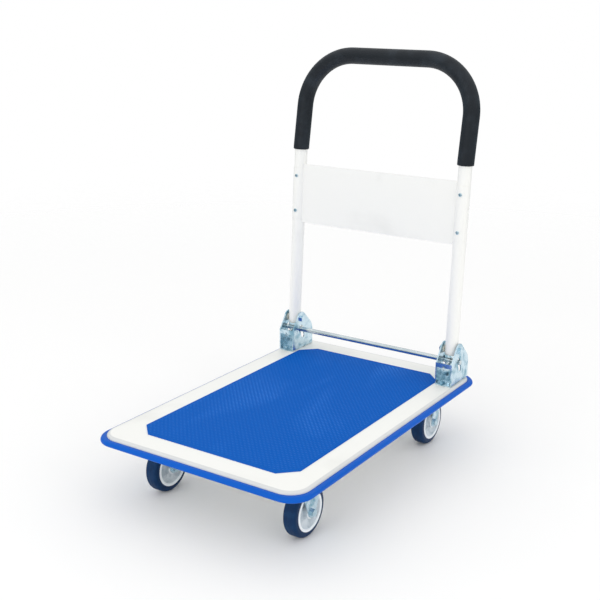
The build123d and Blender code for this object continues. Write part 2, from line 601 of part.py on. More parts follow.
def hub(x, y):
    """A dished hub with a raised rim on both sides."""
    half = TYRE_WIDTH / 2
    crest = half + HUB_RIM_PROUD
    boss = FORK_INNER - BOSS_GAP
    side = [(boss, BUSH_RADIUS), (boss, BOSS_RADIUS), (HUB_WEB_HALF, BOSS_RADIUS + 2),
            (HUB_WEB_HALF, TYRE_SEAT_RADIUS - 5), (crest - 1, TYRE_SEAT_RADIUS - 1),
            (crest, TYRE_SEAT_RADIUS + 0.5), (crest, HUB_RIM_RADIUS - 1.5), (crest - 0.8, HUB_RIM_RADIUS),
            (half, HUB_RIM_RADIUS), (half, TYRE_SEAT_RADIUS)]
    other = [(-px, py) for px, py in reversed(side)]
    section = Polygon(*side, *other, align=None)
    return Pos(x, y, WHEEL_RADIUS) * revolve(Plane.XZ * section, Axis.X)


def bush(x, y):
    """The nylon bush that the wheel turns on."""
    half = FORK_INNER - BOSS_GAP
    span = (x - half, x + half)
    return shaft_x(BUSH_RADIUS, span, y, WHEEL_RADIUS) - shaft_x(
        SLEEVE_RADIUS + SLEEVE_RUNNING_FIT, span, y, WHEEL_RADIUS)


def axle_sleeve(x, y):
    """The steel sleeve clamped between the fork's legs."""
    span = (x - FORK_INNER, x + FORK_INNER)
    return shaft_x(SLEEVE_RADIUS, span, y, WHEEL_RADIUS) - shaft_x(
        AXLE_RADIUS + SNUG, span, y, WHEEL_RADIUS)


def axle_bolt(x, y, side):
    """The axle bolt, its head on the outside of the cart."""
    head = hex_x(AXLE_HEAD_ACROSS, (FORK_OUTER, FORK_OUTER + AXLE_HEAD_HEIGHT), 0, 0)
    end = -FORK_OUTER - AXLE_NUT_HEIGHT - THREAD_PAST_NUT
    bolt = head + shaft_x(AXLE_RADIUS, (end, FORK_OUTER), 0, 0)
    return Pos(x, y, WHEEL_RADIUS) * (bolt if side > 0 else mirrored(bolt))


def axle_nut(x, y, side):
    nut = hex_x(AXLE_HEAD_ACROSS, (-FORK_OUTER - AXLE_NUT_HEIGHT, -FORK_OUTER), 0, 0)
    nut -= shaft_x(AXLE_RADIUS + SNUG, (-2 * FORK_OUTER, 0), 0, 0)
    return Pos(x, y, WHEEL_RADIUS) * (nut if side > 0 else mirrored(nut))


def top_plate(x, y):
    """A caster's drilled mounting plate."""
    plate = slab(PLATE_LENGTH, PLATE_WIDTH, PLATE_CORNER_RADIUS, (PLATE_FOOT, CHANNEL_FOOT))
    for bolt_x, bolt_y in caster_bolt_places([(0, 0)]):
        plate -= shaft_z(CASTER_BOLT_RADIUS + BOLT_HOLE_CLEARANCE,
                         (PLATE_FOOT - 1, CHANNEL_FOOT + 1), bolt_x, bolt_y)
    return Pos(x, y, 0) * plate


def fork_legs(top, top_y, top_length):
    """Two legs, tapered from a level top edge to a round end at the axle (at y = 0)."""
    end = Pos(0, WHEEL_RADIUS) * Circle(FORK_END_RADIUS)
    edge = Pos(top_y, top - FORK_SHEET / 2) * Rectangle(top_length, FORK_SHEET)
    outline = make_hull(end.edges() + edge.edges())
    legs = side_plate(outline, (-FORK_OUTER, FORK_OUTER))
    high = WHEEL_RADIUS + 2 * top
    legs -= block((-FORK_INNER, FORK_INNER), (-high, high), (-high, high))
    return legs - shaft_x(AXLE_RADIUS + SNUG, (-2 * FORK_OUTER, 2 * FORK_OUTER), 0, WHEEL_RADIUS)


def front_fork(x, y):
    """The fork of a rigid caster, legs and plate in one."""
    web = block((-FORK_OUTER, FORK_OUTER), (-FRONT_LEG_TOP / 2, FRONT_LEG_TOP / 2),
                (PLATE_FOOT - FORK_SHEET, PLATE_FOOT))
    fork = fork_legs(PLATE_FOOT - FORK_SHEET, 0, FRONT_LEG_TOP) + web
    return top_plate(x, y) + Pos(x, y, 0) * fork


def ball_race(z):
    """A race ring that spans the pair z, grooved for the balls."""
    inner, outer = BALL_CIRCLE_RADIUS - RACE_HALF_WIDTH, BALL_CIRCLE_RADIUS + RACE_HALF_WIDTH
    ring = shaft_z(outer, z) - shaft_z(inner, z)
    return ring - Pos(0, 0, BALL_HEIGHT) * Torus(BALL_CIRCLE_RADIUS, BALL_RADIUS + BALL_GAP)


def rear_plate(x, y):
    """A swivel caster's plate with the upper race and a flared hole for the kingpin."""
    plate = top_plate(0, 0) + ball_race((BALL_HEIGHT + RACE_SPLIT / 2, PLATE_FOOT))
    return Pos(x, y, 0) * (plate - kingpin_shank(SNUG))


def kingpin_shank(room=0.0):
    """The rivet's shank with its flush, flared upper head."""
    foot = CROWN_TOP - FORK_SHEET - KINGPIN_HEAD_GAP
    flare = Pos(0, 0, CHANNEL_FOOT - KINGPIN_SINK / 2) * Cone(
        KINGPIN_RADIUS + room, KINGPIN_RADIUS + KINGPIN_SINK + room, KINGPIN_SINK)
    return shaft_z(KINGPIN_RADIUS + room, (foot, CHANNEL_FOOT)) + flare


def kingpin(x, y):
    """The rivet that the fork swivels on."""
    top = CROWN_TOP - FORK_SHEET - KINGPIN_HEAD_GAP
    head = shaft_z(KINGPIN_HEAD_RADIUS, (top - KINGPIN_HEAD_HEIGHT, top))
    head = fillet(head.faces().sort_by(Axis.Z)[0].edges(), KINGPIN_HEAD_HEIGHT / 2)
    return Pos(x, y, 0) * (kingpin_shank() + head)


def balls(x, y):
    """The ring of bearing balls between the two races."""
    ring = PolarLocations(BALL_CIRCLE_RADIUS, BALL_COUNT)
    return group(Pos(x, y, BALL_HEIGHT) * spot * Sphere(BALL_RADIUS) for spot in ring)


def rear_fork(x, y):
    """The swivelling fork: crown with the lower race, and two legs."""
    crown = (CROWN_TOP - FORK_SHEET, CROWN_TOP)
    disc = shaft_z(CROWN_RADIUS, crown, 0, CASTER_TRAIL)
    half = REAR_LEG_TOP / 2
    yoke = block((-FORK_OUTER, FORK_OUTER), (CASTER_TRAIL - half, CASTER_TRAIL + half), crown)
    race = Pos(0, CASTER_TRAIL, 0) * ball_race((CROWN_TOP, BALL_HEIGHT - RACE_SPLIT / 2))
    fork = fork_legs(CROWN_TOP, CASTER_TRAIL, REAR_LEG_TOP) + yoke + disc + race
    fork -= shaft_z(KINGPIN_RADIUS + PIVOT_RUNNING_FIT, (crown[0] - 1, PLATE_FOOT), 0, CASTER_TRAIL)
    return Pos(x, y, 0) * fork


def caster_bolts():
    """Bolts with their heads inside the cross channels."""
    end = PLATE_FOOT - CASTER_NUT_HEIGHT - THREAD_PAST_NUT
    seat = CHANNEL_FOOT + SHEET
    return group(
        Pos(x, y, seat) * hexagon(CASTER_HEAD_ACROSS, CASTER_HEAD_HEIGHT)
        + shaft_z(CASTER_BOLT_RADIUS, (end, seat), x, y)
        for x, y in all_caster_bolt_places())


def caster_nuts():
    foot = PLATE_FOOT - CASTER_NUT_HEIGHT
    return group(
        Pos(x, y, foot) * hexagon(CASTER_HEAD_ACROSS, CASTER_NUT_HEIGHT)
        - shaft_z(CASTER_BOLT_RADIUS + SNUG, (foot - 1, CHANNEL_FOOT), x, y)
        for x, y in all_caster_bolt_places())


# ---- the whole cart ---------------------------------------------------------------
def build():
    """Every node by name."""
    front = {name: (side * FRONT_WHEEL_X, FRONT_WHEEL_Y) for name, side in SIDES.items()}
    rear = {name: (side * REAR_WHEEL_X, REAR_WHEEL_Y) for name, side in SIDES.items()}
    nodes = {
        "deck_pan": deck_pan(),
        "deck_mat": deck_mat(),
        "deck_bumper": deck_bumper(),
        "front_channel": cross_channel(FRONT_WHEEL_Y),
        "rear_channel": cross_channel(KINGPIN_Y),
        "centre_channel": centre_channel(),
        "bracket_bolts": bracket_bolts(),
        "bracket_nuts": bracket_nuts(),
        "pivot_bolts": pivot_bolts(),
        "pivot_nuts": pivot_nuts(),
        "pivot_washers": pivot_washers(),
        "handle_tube": handle_tube(),
        "handle_grip": handle_grip(),
        "handle_panel": handle_panel(),
        "panel_screws": panel_screws(),
        "tube_plugs": tube_plugs(),
        "lock_rod": lock_rod(),
        "rod_clips": rod_clips(),
        "caster_bolts": caster_bolts(),
        "caster_nuts": caster_nuts(),
        "front_axle_bolts": group(axle_bolt(*front[name], side) for name, side in SIDES.items()),
        "front_axle_nuts": group(axle_nut(*front[name], side) for name, side in SIDES.items()),
        "front_axle_sleeves": group(axle_sleeve(*place) for place in front.values()),
    }
    for name, side in SIDES.items():
        nodes[f"bracket_{name}"] = bracket(side)
        nodes[f"lock_spring_{name}"] = lock_spring(side)
        nodes[f"front_fork_{name}"] = front_fork(*front[name])
        nodes[f"rear_plate_{name}"] = rear_plate(rear[name][0], KINGPIN_Y)
        nodes[f"kingpin_{name}"] = kingpin(rear[name][0], KINGPIN_Y)
        nodes[f"rear_balls_{name}"] = balls(rear[name][0], KINGPIN_Y)
        nodes[f"rear_fork_{name}"] = rear_fork(*rear[name])
        nodes[f"rear_axle_bolt_{name}"] = axle_bolt(*rear[name], side)
        nodes[f"rear_axle_nut_{name}"] = axle_nut(*rear[name], side)
        nodes[f"rear_axle_sleeve_{name}"] = axle_sleeve(*rear[name])
        for end, places in (("front", front), ("rear", rear)):
            nodes[f"{end}_tyre_{name}"] = tyre(*places[name])
            nodes[f"{end}_hub_{name}"] = hub(*places[name])
            nodes[f"{end}_bush_{name}"] = bush(*places[name])
    return nodes


def main():
    os.makedirs("parts", exist_ok=True)
    for name, shape in build().items():
        export_step(shape, f"parts/{name}.step")


if __name__ == "__main__":
    main()
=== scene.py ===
"""The looks of the folding platform cart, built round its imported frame."""

import json
import logging
import math
from dataclasses import dataclass, field
from enum import Enum
from typing import Any, Iterable, Sequence

import bmesh
import bpy
import numpy as np
from mathutils import Matrix, Vector


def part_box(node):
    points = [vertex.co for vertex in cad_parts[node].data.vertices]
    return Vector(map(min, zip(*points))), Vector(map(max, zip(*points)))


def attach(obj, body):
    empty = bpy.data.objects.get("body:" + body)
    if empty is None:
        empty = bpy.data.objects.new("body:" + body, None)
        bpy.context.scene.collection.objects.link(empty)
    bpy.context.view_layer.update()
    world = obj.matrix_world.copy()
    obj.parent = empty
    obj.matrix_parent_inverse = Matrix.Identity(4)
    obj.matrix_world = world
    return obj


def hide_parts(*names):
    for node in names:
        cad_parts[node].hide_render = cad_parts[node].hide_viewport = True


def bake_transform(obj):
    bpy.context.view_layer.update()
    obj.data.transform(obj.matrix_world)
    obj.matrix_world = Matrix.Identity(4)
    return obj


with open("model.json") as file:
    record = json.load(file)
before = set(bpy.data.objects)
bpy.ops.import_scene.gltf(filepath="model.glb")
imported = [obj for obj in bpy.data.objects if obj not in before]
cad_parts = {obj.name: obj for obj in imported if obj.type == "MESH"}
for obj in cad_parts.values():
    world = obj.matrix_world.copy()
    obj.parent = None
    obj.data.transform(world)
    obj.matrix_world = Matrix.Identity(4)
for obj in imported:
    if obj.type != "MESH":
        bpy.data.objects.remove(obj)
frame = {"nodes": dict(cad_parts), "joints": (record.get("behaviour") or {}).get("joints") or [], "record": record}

LOG = logging.getLogger("cart")
MM = 0.001
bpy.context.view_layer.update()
SIDES = ("left", "right")
Colour = tuple[float, float, float]
Point = tuple[float, float, float]
Flat = tuple[float, float]
CREASE = math.radians(38)  # edges sharper than this are shaded sharp
LOZENGE_TOP = 0.52  # a lozenge's upper face as a share of its foot
WELD = 0.01 * MM  # points of a sleeve that are nearer than this become one


def srgb(code: str) -> Colour:
    """A colour of the screen as linear light.

    Args:
        code: Six hexadecimal digits.

    Returns:
        Red, green and blue from 0 to 1.
    """
    parts = [int(code[i : i + 2], 16) / 255 for i in (0, 2, 4)]
    return tuple(c / 12.92 if c <= 0.04045 else ((c + 0.055) / 1.055) ** 2.4 for c in parts)


# ---- node trees as Python ------------------------------------------------------
class Value:
    """A number's socket that takes part in Python expressions."""

    def __init__(self, graph: "Graph", socket: bpy.types.NodeSocket) -> None:
        """Keeps the socket and the tree that it is in."""
        self.graph, self.socket = graph, socket

    def __add__(self, other: "Operand") -> "Value":
        """self + other."""
        return self.graph.math("ADD", self, other)

    __radd__ = __add__

    def __sub__(self, other: "Operand") -> "Value":
        """self - other."""
        return self.graph.math("SUBTRACT", self, other)

    def __rsub__(self, other: "Operand") -> "Value":
        """other - self."""
        return self.graph.math("SUBTRACT", other, self)

    def __mul__(self, other: "Operand") -> "Value":
        """self * other."""
        return self.graph.math("MULTIPLY", self, other)

    __rmul__ = __mul__

    def __truediv__(self, other: "Operand") -> "Value":
        """self / other."""
        return self.graph.math("DIVIDE", self, other)

    def __pow__(self, other: "Operand") -> "Value":
        """self ** other."""
        return self.graph.math("POWER", self, other)

    def __abs__(self) -> "Value":
        """Its size without its sign."""
        return self.graph.math("ABSOLUTE", self)

    def __gt__(self, other: "Operand") -> "Value":
        """1 where self is more than other, and 0 elsewhere."""
        return self.graph.math("GREATER_THAN", self, other)

    def least(self, other: "Operand") -> "Value":
        """The smaller of the two."""
        return self.graph.math("MINIMUM", self, other)

    def most(self, other: "Operand") -> "Value":
        """The larger of the two."""
        return self.graph.math("MAXIMUM", self, other)

    def root(self) -> "Value":
        """Its square root."""
        return self.graph.math("SQRT", self)

    def ramp(self, low: float, high: float) -> "Value":
        """A smooth step.

        Args:
            low: Where the result is 0.
            high: Where the result is 1.

        Returns:
            The step, from 0 to 1.
        """
        settings = {"interpolation_type": "SMOOTHSTEP"}
        inputs = {"Value": self, "From Min": low, "From Max": high}
        return self.graph.out(self.graph.node("ShaderNodeMapRange", settings, inputs), "Result")


Operand = Value | float


class Graph:
    """A node tree, with one method that adds any node."""

    def __init__(self, tree: bpy.types.NodeTree) -> None:
        """Keeps the tree."""
        self.tree = tree

    def node(self, kind: str, settings: dict[str, Any] | None = None,
             inputs: dict[Any, Any] | None = None) -> bpy.types.Node:
        """Adds one node.

        Args:
            kind: The node's type.
            settings: Its own properties, which are set first; "stops" are a colour ramp's (place, colour)
                pairs.
            inputs: The values or links of its sockets, by name or number.

        Returns:
            The node.
        """
        made = self.tree.nodes.new(kind)
        for key, value in (settings or {}).items():
            if key == "stops":
                self._set_stops(made.color_ramp, value)
            else:
                setattr(made, key, value)
        for key, value in (inputs or {}).items():
            self.feed(made.inputs[key], value)
        return made

    def feed(self, socket: bpy.types.NodeSocket, value: Any) -> None:
        """Links a socket or sets its value.

        Args:
            socket: The socket that receives it.
            value: A number, a colour, a Value, a socket, or a list of links for a socket that takes several.
        """
        for item in value if isinstance(value, list) else [value]:
            if isinstance(item, Value):
                item = item.socket
            if isinstance(item, bpy.types.NodeSocket):
                self.tree.links.new(item, socket)
            elif socket.type == "RGBA" and len(item) == 3:
                socket.default_value = (*item, 1.0)
            else:
                socket.default_value = item

    @staticmethod
    def _set_stops(ramp: bpy.types.ColorRamp, stops: Sequence[tuple[float, Colour]]) -> None:
        """Gives a colour ramp its stops.

        Args:
            ramp: The ramp.
            stops: Its (place, colour) pairs.
        """
        while len(ramp.elements) < len(stops):
            ramp.elements.new(1.0)
        for element, (place, colour) in zip(ramp.elements, stops):
            element.position, element.color = place, (*colour, 1.0)

    def out(self, node: bpy.types.Node, name: str | int = 0) -> Value:
        """One of a node's outputs as a Value."""
        return Value(self, node.outputs[name])

    def math(self, operation: str, *operands: Operand) -> Value:
        """A Math node's result for those operands."""
        inputs = dict(enumerate(operands))
        return self.out(self.node("ShaderNodeMath", {"operation": operation}, inputs))


class Shading(Graph):
    """The node tree of one material."""

    def __init__(self, name: str, **constants: Any) -> None:
        """Starts a material with a Principled shader.

        Args:
            name: The material's name.
            constants: Values that are the same all over the surface, by socket name with _ for a space.
        """
        self.material = bpy.data.materials.new(name)
        self.material.use_nodes = True
        super().__init__(self.material.node_tree)
        self.tree.nodes.clear()
        fixed = {key.replace("_", " "): value for key, value in constants.items()}
        self.surface = self.node("ShaderNodeBsdfPrincipled", None, fixed)
        self.node("ShaderNodeOutputMaterial", None, {"Surface": self.surface.outputs["BSDF"]})
        self.place = self.node("ShaderNodeTexCoord").outputs["Object"]

    def noise(self, size: float, detail: float = 3.0, stretch: Point = (1, 1, 1),
              bend: float = 0.0) -> Value:
        """Soft noise over the object.

        Args:
            size: The size of its patches, in metres.
            detail: Its octaves.
            stretch: How many times finer it is along each axis.
            bend: Its distortion.

        Returns:
            The noise, about 0.5.
        """
        inputs = {"Vector": self.scaled(stretch), "Scale": 1 / size, "Detail": detail, "Distortion": bend}
        return self.out(self.node("ShaderNodeTexNoise", None, inputs), "Fac")

    def cells(self, size: float) -> Value:
        """The distance to the middle of the nearest of many scattered cells, from 0 to about 1."""
        inputs = {"Vector": self.place, "Scale": 1 / size}
        return self.out(self.node("ShaderNodeTexVoronoi", None, inputs), "Distance")

    def scaled(self, stretch: Point) -> bpy.types.NodeSocket:
        """The object's coordinates, each multiplied by a number.

        Args:
            stretch: The number for each axis.

        Returns:
            The coordinates' socket.
        """
        if stretch == (1, 1, 1):
            return self.place
        inputs = {0: self.place, 1: stretch}
        return self.node("ShaderNodeVectorMath", {"operation": "MULTIPLY"}, inputs).outputs[0]

    def axis(self, letter: str) -> Value:
        """One coordinate of the object, in metres."""
        return self.out(self.node("ShaderNodeSeparateXYZ", None, {0: self.place}), letter)

    def attribute(self, name: str) -> Value:
        """A number that the mesh holds at each point."""
        return self.out(self.node("ShaderNodeAttribute", {"attribute_name": name}), "Fac")

    def blend(self, factor: Operand, first: Any, second: Any) -> bpy.types.NodeSocket:
        """The colour between two, first where the factor is 0."""
        inputs = {0: factor, 6: first, 7: second}
        return self.node("ShaderNodeMix", {"data_type": "RGBA"}, inputs).outputs[2]

    def relief(self, height: Value, depth: float, strength: float = 1.0, corner: float = 0.0) -> None:
        """Gives the surface a fine relief.

        Args:
            height: The height, from 0 to 1.
            depth: What a height of 1 is, in metres.
            strength: How much of it shows.
            corner: The radius that its corners are shaded with, in metres.
        """
        inputs = {"Strength": strength, "Distance": depth, "Height": height}
        if corner:
            soft = self.node("ShaderNodeBevel", {"samples": 6}, {"Radius": corner})
            inputs["Normal"] = soft.outputs["Normal"]
        bump = self.node("ShaderNodeBump", None, inputs)
        self.feed(self.surface.inputs["Normal"], bump.outputs["Normal"])

    def dress(self, colour: Any, roughness: Any) -> bpy.types.Material:
        """Links what changes over the surface.

        Args:
            colour: The base colour.
            roughness: The roughness.

        Returns:
            The material.
        """
        self.feed(self.surface.inputs["Base Color"], colour)
        self.feed(self.surface.inputs["Roughness"], roughness)
        return self.material


# ---- finishes --------------------------------------------------------------------
@dataclass(frozen=True)
class Finish:
    """What every finish has: its name, its slot in the record, and its main colour."""

    name: str
    slot: str
    colour: Colour

    def material(self) -> bpy.types.Material:
        """The finish's material, made once."""
        return bpy.data.materials.get(self.name) or self.make()

    def make(self) -> bpy.types.Material:
        """Builds the material."""
        raise NotImplementedError


@dataclass(frozen=True)
class Enamel(Finish):
    """Stoved white enamel: fine orange peel, a soft shine and a few dusty patches."""

    dust: Colour = srgb("d6d6d2")
    speck: Colour = srgb("8f8f8a")
    peel: float = 1.6 * MM

    def make(self) -> bpy.types.Material:
        """Builds the material.

        Returns:
            The material.
        """
        s = Shading(self.name, IOR=1.5, Coat_Weight=0.25, Coat_Roughness=0.12)
        patches = s.noise(0.16, 4, bend=0.4)
        specks = s.cells(5 * MM)
        marks = (0.055 - specks).ramp(0.0, 0.03) * s.noise(0.05, 2).ramp(0.56, 0.7)
        tint = s.blend(patches.ramp(0.5, 0.75) * 0.35, self.colour, self.dust)
        tint = s.blend(marks * 0.35, tint, self.speck)
        s.relief(s.noise(self.peel, 2), 0.02 * MM, 0.7, 0.5 * MM)
        return s.dress(self.shaded(s, tint), patches * 0.16 + 0.3 + marks * 0.2)

    def shaded(self, shading: Shading, tint: Any) -> Any:
        """The colour after whatever a kind of enamelled part adds to it."""
        return tint


@dataclass(frozen=True)
class PanEnamel(Enamel):
    """The pan's enamel, its rolled edge greyed with painted shade."""

    # the grey of the shade painted on the rolled edge
    painted_edge_shade: Colour = srgb("bfc3c7")
    corner: float = 41 * MM
    band: float = 8.5 * MM

    def shaded(self, shading: Shading, tint: Any) -> Any:
        """Paints shade on the rolled edge, patchy along it.

        Args:
            shading: The material's tree.
            tint: The colour so far.

        Returns:
            The colour with the painted edge shade.
        """
        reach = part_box("deck_pan")[1]
        over = [(abs(shading.axis(letter)) - (half - self.corner)).most(0.0)
                for letter, half in (("X", reach.x), ("Y", reach.y))]
        outward = (over[0] ** 2.0 + over[1] ** 2.0).root() - self.corner
        # painted shade: a grey band just inside the pan's outline, where its edge rolls down
        near = outward.ramp(-self.band, -self.band * 0.5)
        return shading.blend(near * (shading.noise(0.05, 3) * 0.3 + 0.5), tint, self.painted_edge_shade)


@dataclass(frozen=True)
class ZincPlate(Finish):
    """Blue-passivated zinc on pressed steel: cloudy tint, fine rolling lines, duller patches."""

    shade: Colour = srgb("80adc0")
    warm: Colour = srgb("c8dadf")
    blemish: Colour = srgb("6d7f85")
    grain: Point = (1, 1, 14)

    def make(self) -> bpy.types.Material:
        """Builds the material.

        Returns:
            The material.
        """
        s = Shading(self.name, Metallic=1.0)
        cloud = s.noise(22 * MM, 4, bend=0.8)
        fine = s.noise(3.5 * MM, 3, self.grain)
        tint = s.blend(cloud.ramp(0.42, 0.7), self.colour, self.shade)
        tint = s.blend(s.noise(35 * MM, 2).ramp(0.58, 0.75) * 0.5, tint, self.warm)
        spot = (0.09 - s.cells(3.2 * MM)).ramp(0.0, 0.06)
        tint = s.blend(spot * 0.25, tint, self.blemish)
        s.relief(fine, 0.03 * MM, 0.6, 0.6 * MM)
        return s.dress(tint, cloud * 0.2 + fine * 0.12 + 0.1)


@dataclass(frozen=True)
class BrightSteel(Finish):
    """Drawn bright steel with fine lines round it."""

    dull: Colour = srgb("a9b6bb")
    lines: Point = (40, 1, 1)

    def make(self) -> bpy.types.Material:
        """Builds the material.

        Returns:
            The material.
        """
        s = Shading(self.name, Metallic=1.0)
        line = s.noise(12 * MM, 3, self.lines)
        cloud = s.noise(45 * MM, 3)
        tint = s.blend(cloud.ramp(0.4, 0.75) * 0.6, self.colour, self.dull)
        s.relief(line, 0.01 * MM, 0.5, 0.3 * MM)
        return s.dress(tint, line * 0.1 + cloud * 0.12 + 0.1)


@dataclass(frozen=True)
class MatVinyl(Finish):
    """Embossed PVC: grained base, lozenges lighter on top in streaky rows, partly wear and partly a painted
    highlight.
    """

    # the lighter tops of the lozenges: partly wear, partly a painted highlight
    wear_and_highlight: Colour = srgb("3f86de")
    clean: Colour = srgb("0064c8")
    grain: Colour = srgb("1a70cc")
    crest: float = 147.05 * MM
    valley: float = 146.75 * MM

    def make(self) -> bpy.types.Material:
        """Builds the material.

        Returns:
            The material.
        """
        s = Shading(self.name, IOR=1.48, Specular_IOR_Level=0.05)
        raised = s.axis("Z").ramp(self.valley, self.crest)
        streak = s.noise(0.11, 3, (1.0, 0.35, 1.0), 0.5).ramp(0.45, 0.72)
        tint = s.blend(streak * 0.2, self.colour, self.clean)
        # lozenge tops lighter, most along the streaks: partly wear, partly a painted highlight
        tint = s.blend(raised * (streak * 0.45 + 0.15), tint, self.wear_and_highlight)
        tint = s.blend(s.noise(0.6 * MM, 2).ramp(0.6, 0.75) * 0.1, tint, self.grain)
        s.relief(s.noise(0.9 * MM, 3), 0.06 * MM, 0.6)
        return s.dress(tint, 0.6 - raised * 0.12 - streak * 0.08)


@dataclass(frozen=True)
class EdgeVinyl(Finish):
    """Extruded PVC strip: satin, with a few scuffs along its nose."""

    scuff: Colour = srgb("3f8ee8")
    deep: Colour = srgb("0052b4")

    def make(self) -> bpy.types.Material:
        """Builds the material.

        Returns:
            The material.
        """
        s = Shading(self.name, IOR=1.5, Specular_IOR_Level=0.14)
        band = s.noise(1.1 * MM, 2, (0.05, 0.05, 1.0))
        rub = s.noise(6 * MM, 4, (0.5, 0.5, 2.2)).ramp(0.63, 0.78) * s.noise(0.09, 2).ramp(0.5, 0.66)
        tint = s.blend(s.noise(0.2, 2).ramp(0.4, 0.7) * 0.25, self.colour, self.deep)
        tint = s.blend(rub * 0.5, tint, self.scuff)
        s.relief(band, 0.03 * MM, 0.6)
        return s.dress(tint, rub * 0.25 + band * 0.08 + 0.3)


@dataclass(frozen=True)
class Foam(Finish):
    """Closed-cell foam with a fine open skin, dusty where it is handled, its pore dents darkened with painted
    shade.
    """

    dust: Colour = srgb("2e3a45")
    # the dark of the shade painted into the pore dents
    pore_shade: Colour = srgb("0d1217")
    cell: float = 0.9 * MM

    def make(self) -> bpy.types.Material:
        """Builds the material.

        Returns:
            The material.
        """
        s = Shading(self.name, IOR=1.4, Sheen_Weight=0.06, Sheen_Roughness=0.5, Sheen_Tint=(0.5, 0.56, 0.62))
        pores = s.cells(self.cell)
        mottle = s.noise(30 * MM, 3)
        tint = s.blend(mottle.ramp(0.4, 0.75) * 0.3, self.colour, self.dust)
        # painted shade: darker at the cell middles, which the relief sinks into dents
        tint = s.blend((0.3 - pores).ramp(0.0, 0.3) * 0.4, tint, self.pore_shade)
        s.relief(pores * 0.8 + s.noise(2.5 * MM, 3) * 0.6, 0.16 * MM, 0.7)
        return s.dress(tint, 0.66 - mottle * 0.22)


@dataclass(frozen=True)
class TyreRubber(Finish):
    """Moulded navy rubber, greyer and duller on the tread."""

    dust: Colour = srgb("163f69")
    pale: Colour = srgb("4a6680")

    def make(self) -> bpy.types.Material:
        """Builds the material.

        Returns:
            The material.
        """
        s = Shading(self.name, IOR=1.5, Specular_IOR_Level=0.18)
        tread = s.attribute("tread")
        cloud = s.noise(14 * MM, 4)
        grit = s.noise(0.9 * MM, 2)
        dusty = tread * (cloud.ramp(0.35, 0.7) * 0.5 + 0.05)
        tint = s.blend(dusty, self.colour, self.dust)
        tint = s.blend(grit.ramp(0.62, 0.75) * tread * 0.2, tint, self.pale)
        s.relief(grit * 0.5 + cloud * 0.5, 0.05 * MM, 0.5)
        return s.dress(tint, tread * 0.2 + cloud * 0.16 + 0.3)


@dataclass(frozen=True)
class HubPlastic(Finish):
    """Moulded polypropylene, its dish painted greyer as shade, patchily."""

    # the grey of the shade painted into the concave dish
    painted_dish_shade: Colour = srgb("a6b4be")
    fleck: Colour = srgb("6f7a84")

    def make(self) -> bpy.types.Material:
        """Builds the material.

        Returns:
            The material.
        """
        s = Shading(self.name, IOR=1.49)
        dish = s.attribute("dish")
        cloud = s.noise(16 * MM, 4, bend=0.6)
        # painted shade: the whole dish greyer, patchy through a cloud
        tint = s.blend(dish * (cloud.ramp(0.35, 0.7) * 0.5 + 0.4), self.colour, self.painted_dish_shade)
        tint = s.blend(s.noise(1.5 * MM, 2).ramp(0.64, 0.76) * dish * 0.35, tint, self.fleck)
        s.relief(s.noise(0.8 * MM, 2), 0.03 * MM, 0.5)
        return s.dress(tint, cloud * 0.2 + 0.28)


@dataclass(frozen=True)
class Nylon(Finish):
    """Natural nylon, slightly uneven in tone."""

    aged: Colour = srgb("cfc9b6")

    def make(self) -> bpy.types.Material:
        """Builds the material.

        Returns:
            The material.
        """
        s = Shading(self.name, IOR=1.53)
        cloud = s.noise(7 * MM, 3)
        s.relief(s.noise(0.7 * MM, 2), 0.03 * MM, 0.5)
        return s.dress(s.blend(cloud.ramp(0.4, 0.7), self.colour, self.aged), cloud * 0.2 + 0.35)


class Look(Enum):
    """Every finish on the cart."""

    PAN = PanEnamel("rolled_pan_enamel", "white_enamel", srgb("f4f4f0"))
    ENAMEL = Enamel("stoved_enamel", "white_enamel", srgb("f2f2ef"))
    ZINC = ZincPlate("passivated_zinc", "zinc_plate", srgb("cfe4ef"))
    STEEL = BrightSteel("drawn_steel", "bright_steel", srgb("d5dde0"))
    MAT = MatVinyl("mat_vinyl", "blue_mat", srgb("005ab8"))
    EDGE = EdgeVinyl("edge_vinyl", "blue_bumper", srgb("005ac2"))
    FOAM = Foam("grip_foam", "black_foam", srgb("0e161e"))
    TYRE = TyreRubber("tyre_rubber", "navy_rubber", srgb("022b52"))
    HUB = HubPlastic("hub_polypropylene", "hub_plastic", srgb("f2f7fb"))
    NYLON = Nylon("natural_nylon", "nylon", srgb("e3dfd2"))

    @property
    def slot(self) -> str:
        """Its slot in the record."""
        return self.value.slot

    @property
    def material(self) -> bpy.types.Material:
        """Its material."""
        return self.value.material()


# ---- meshes ------------------------------------------------------------------------
def new_piece(name: str, mesh: bpy.types.Mesh, look: Look) -> bpy.types.Object:
    """Puts a mesh in the scene as a piece.

    Args:
        name: The piece's name.
        mesh: Its mesh, in the cart's frame.
        look: Its finish.

    Returns:
        The object, at the origin.
    """
    piece = bpy.data.objects.new(name, mesh)
    bpy.context.scene.collection.objects.link(piece)
    if not mesh.materials:
        mesh.materials.append(look.material)
    look.slot
    return piece


def settle(piece: bpy.types.Object, body: str, *nodes: str) -> None:
    """Gives a piece its body, hides the CAD nodes that it stands for, and reports it.

    Args:
        piece: The piece.
        body: The body that it rides on.
        nodes: The CAD nodes that it replaces.
    """
    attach(piece, body)
    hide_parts(*nodes)
    LOG.info("%s on %s: %d faces", piece.name, body, len(piece.data.polygons))


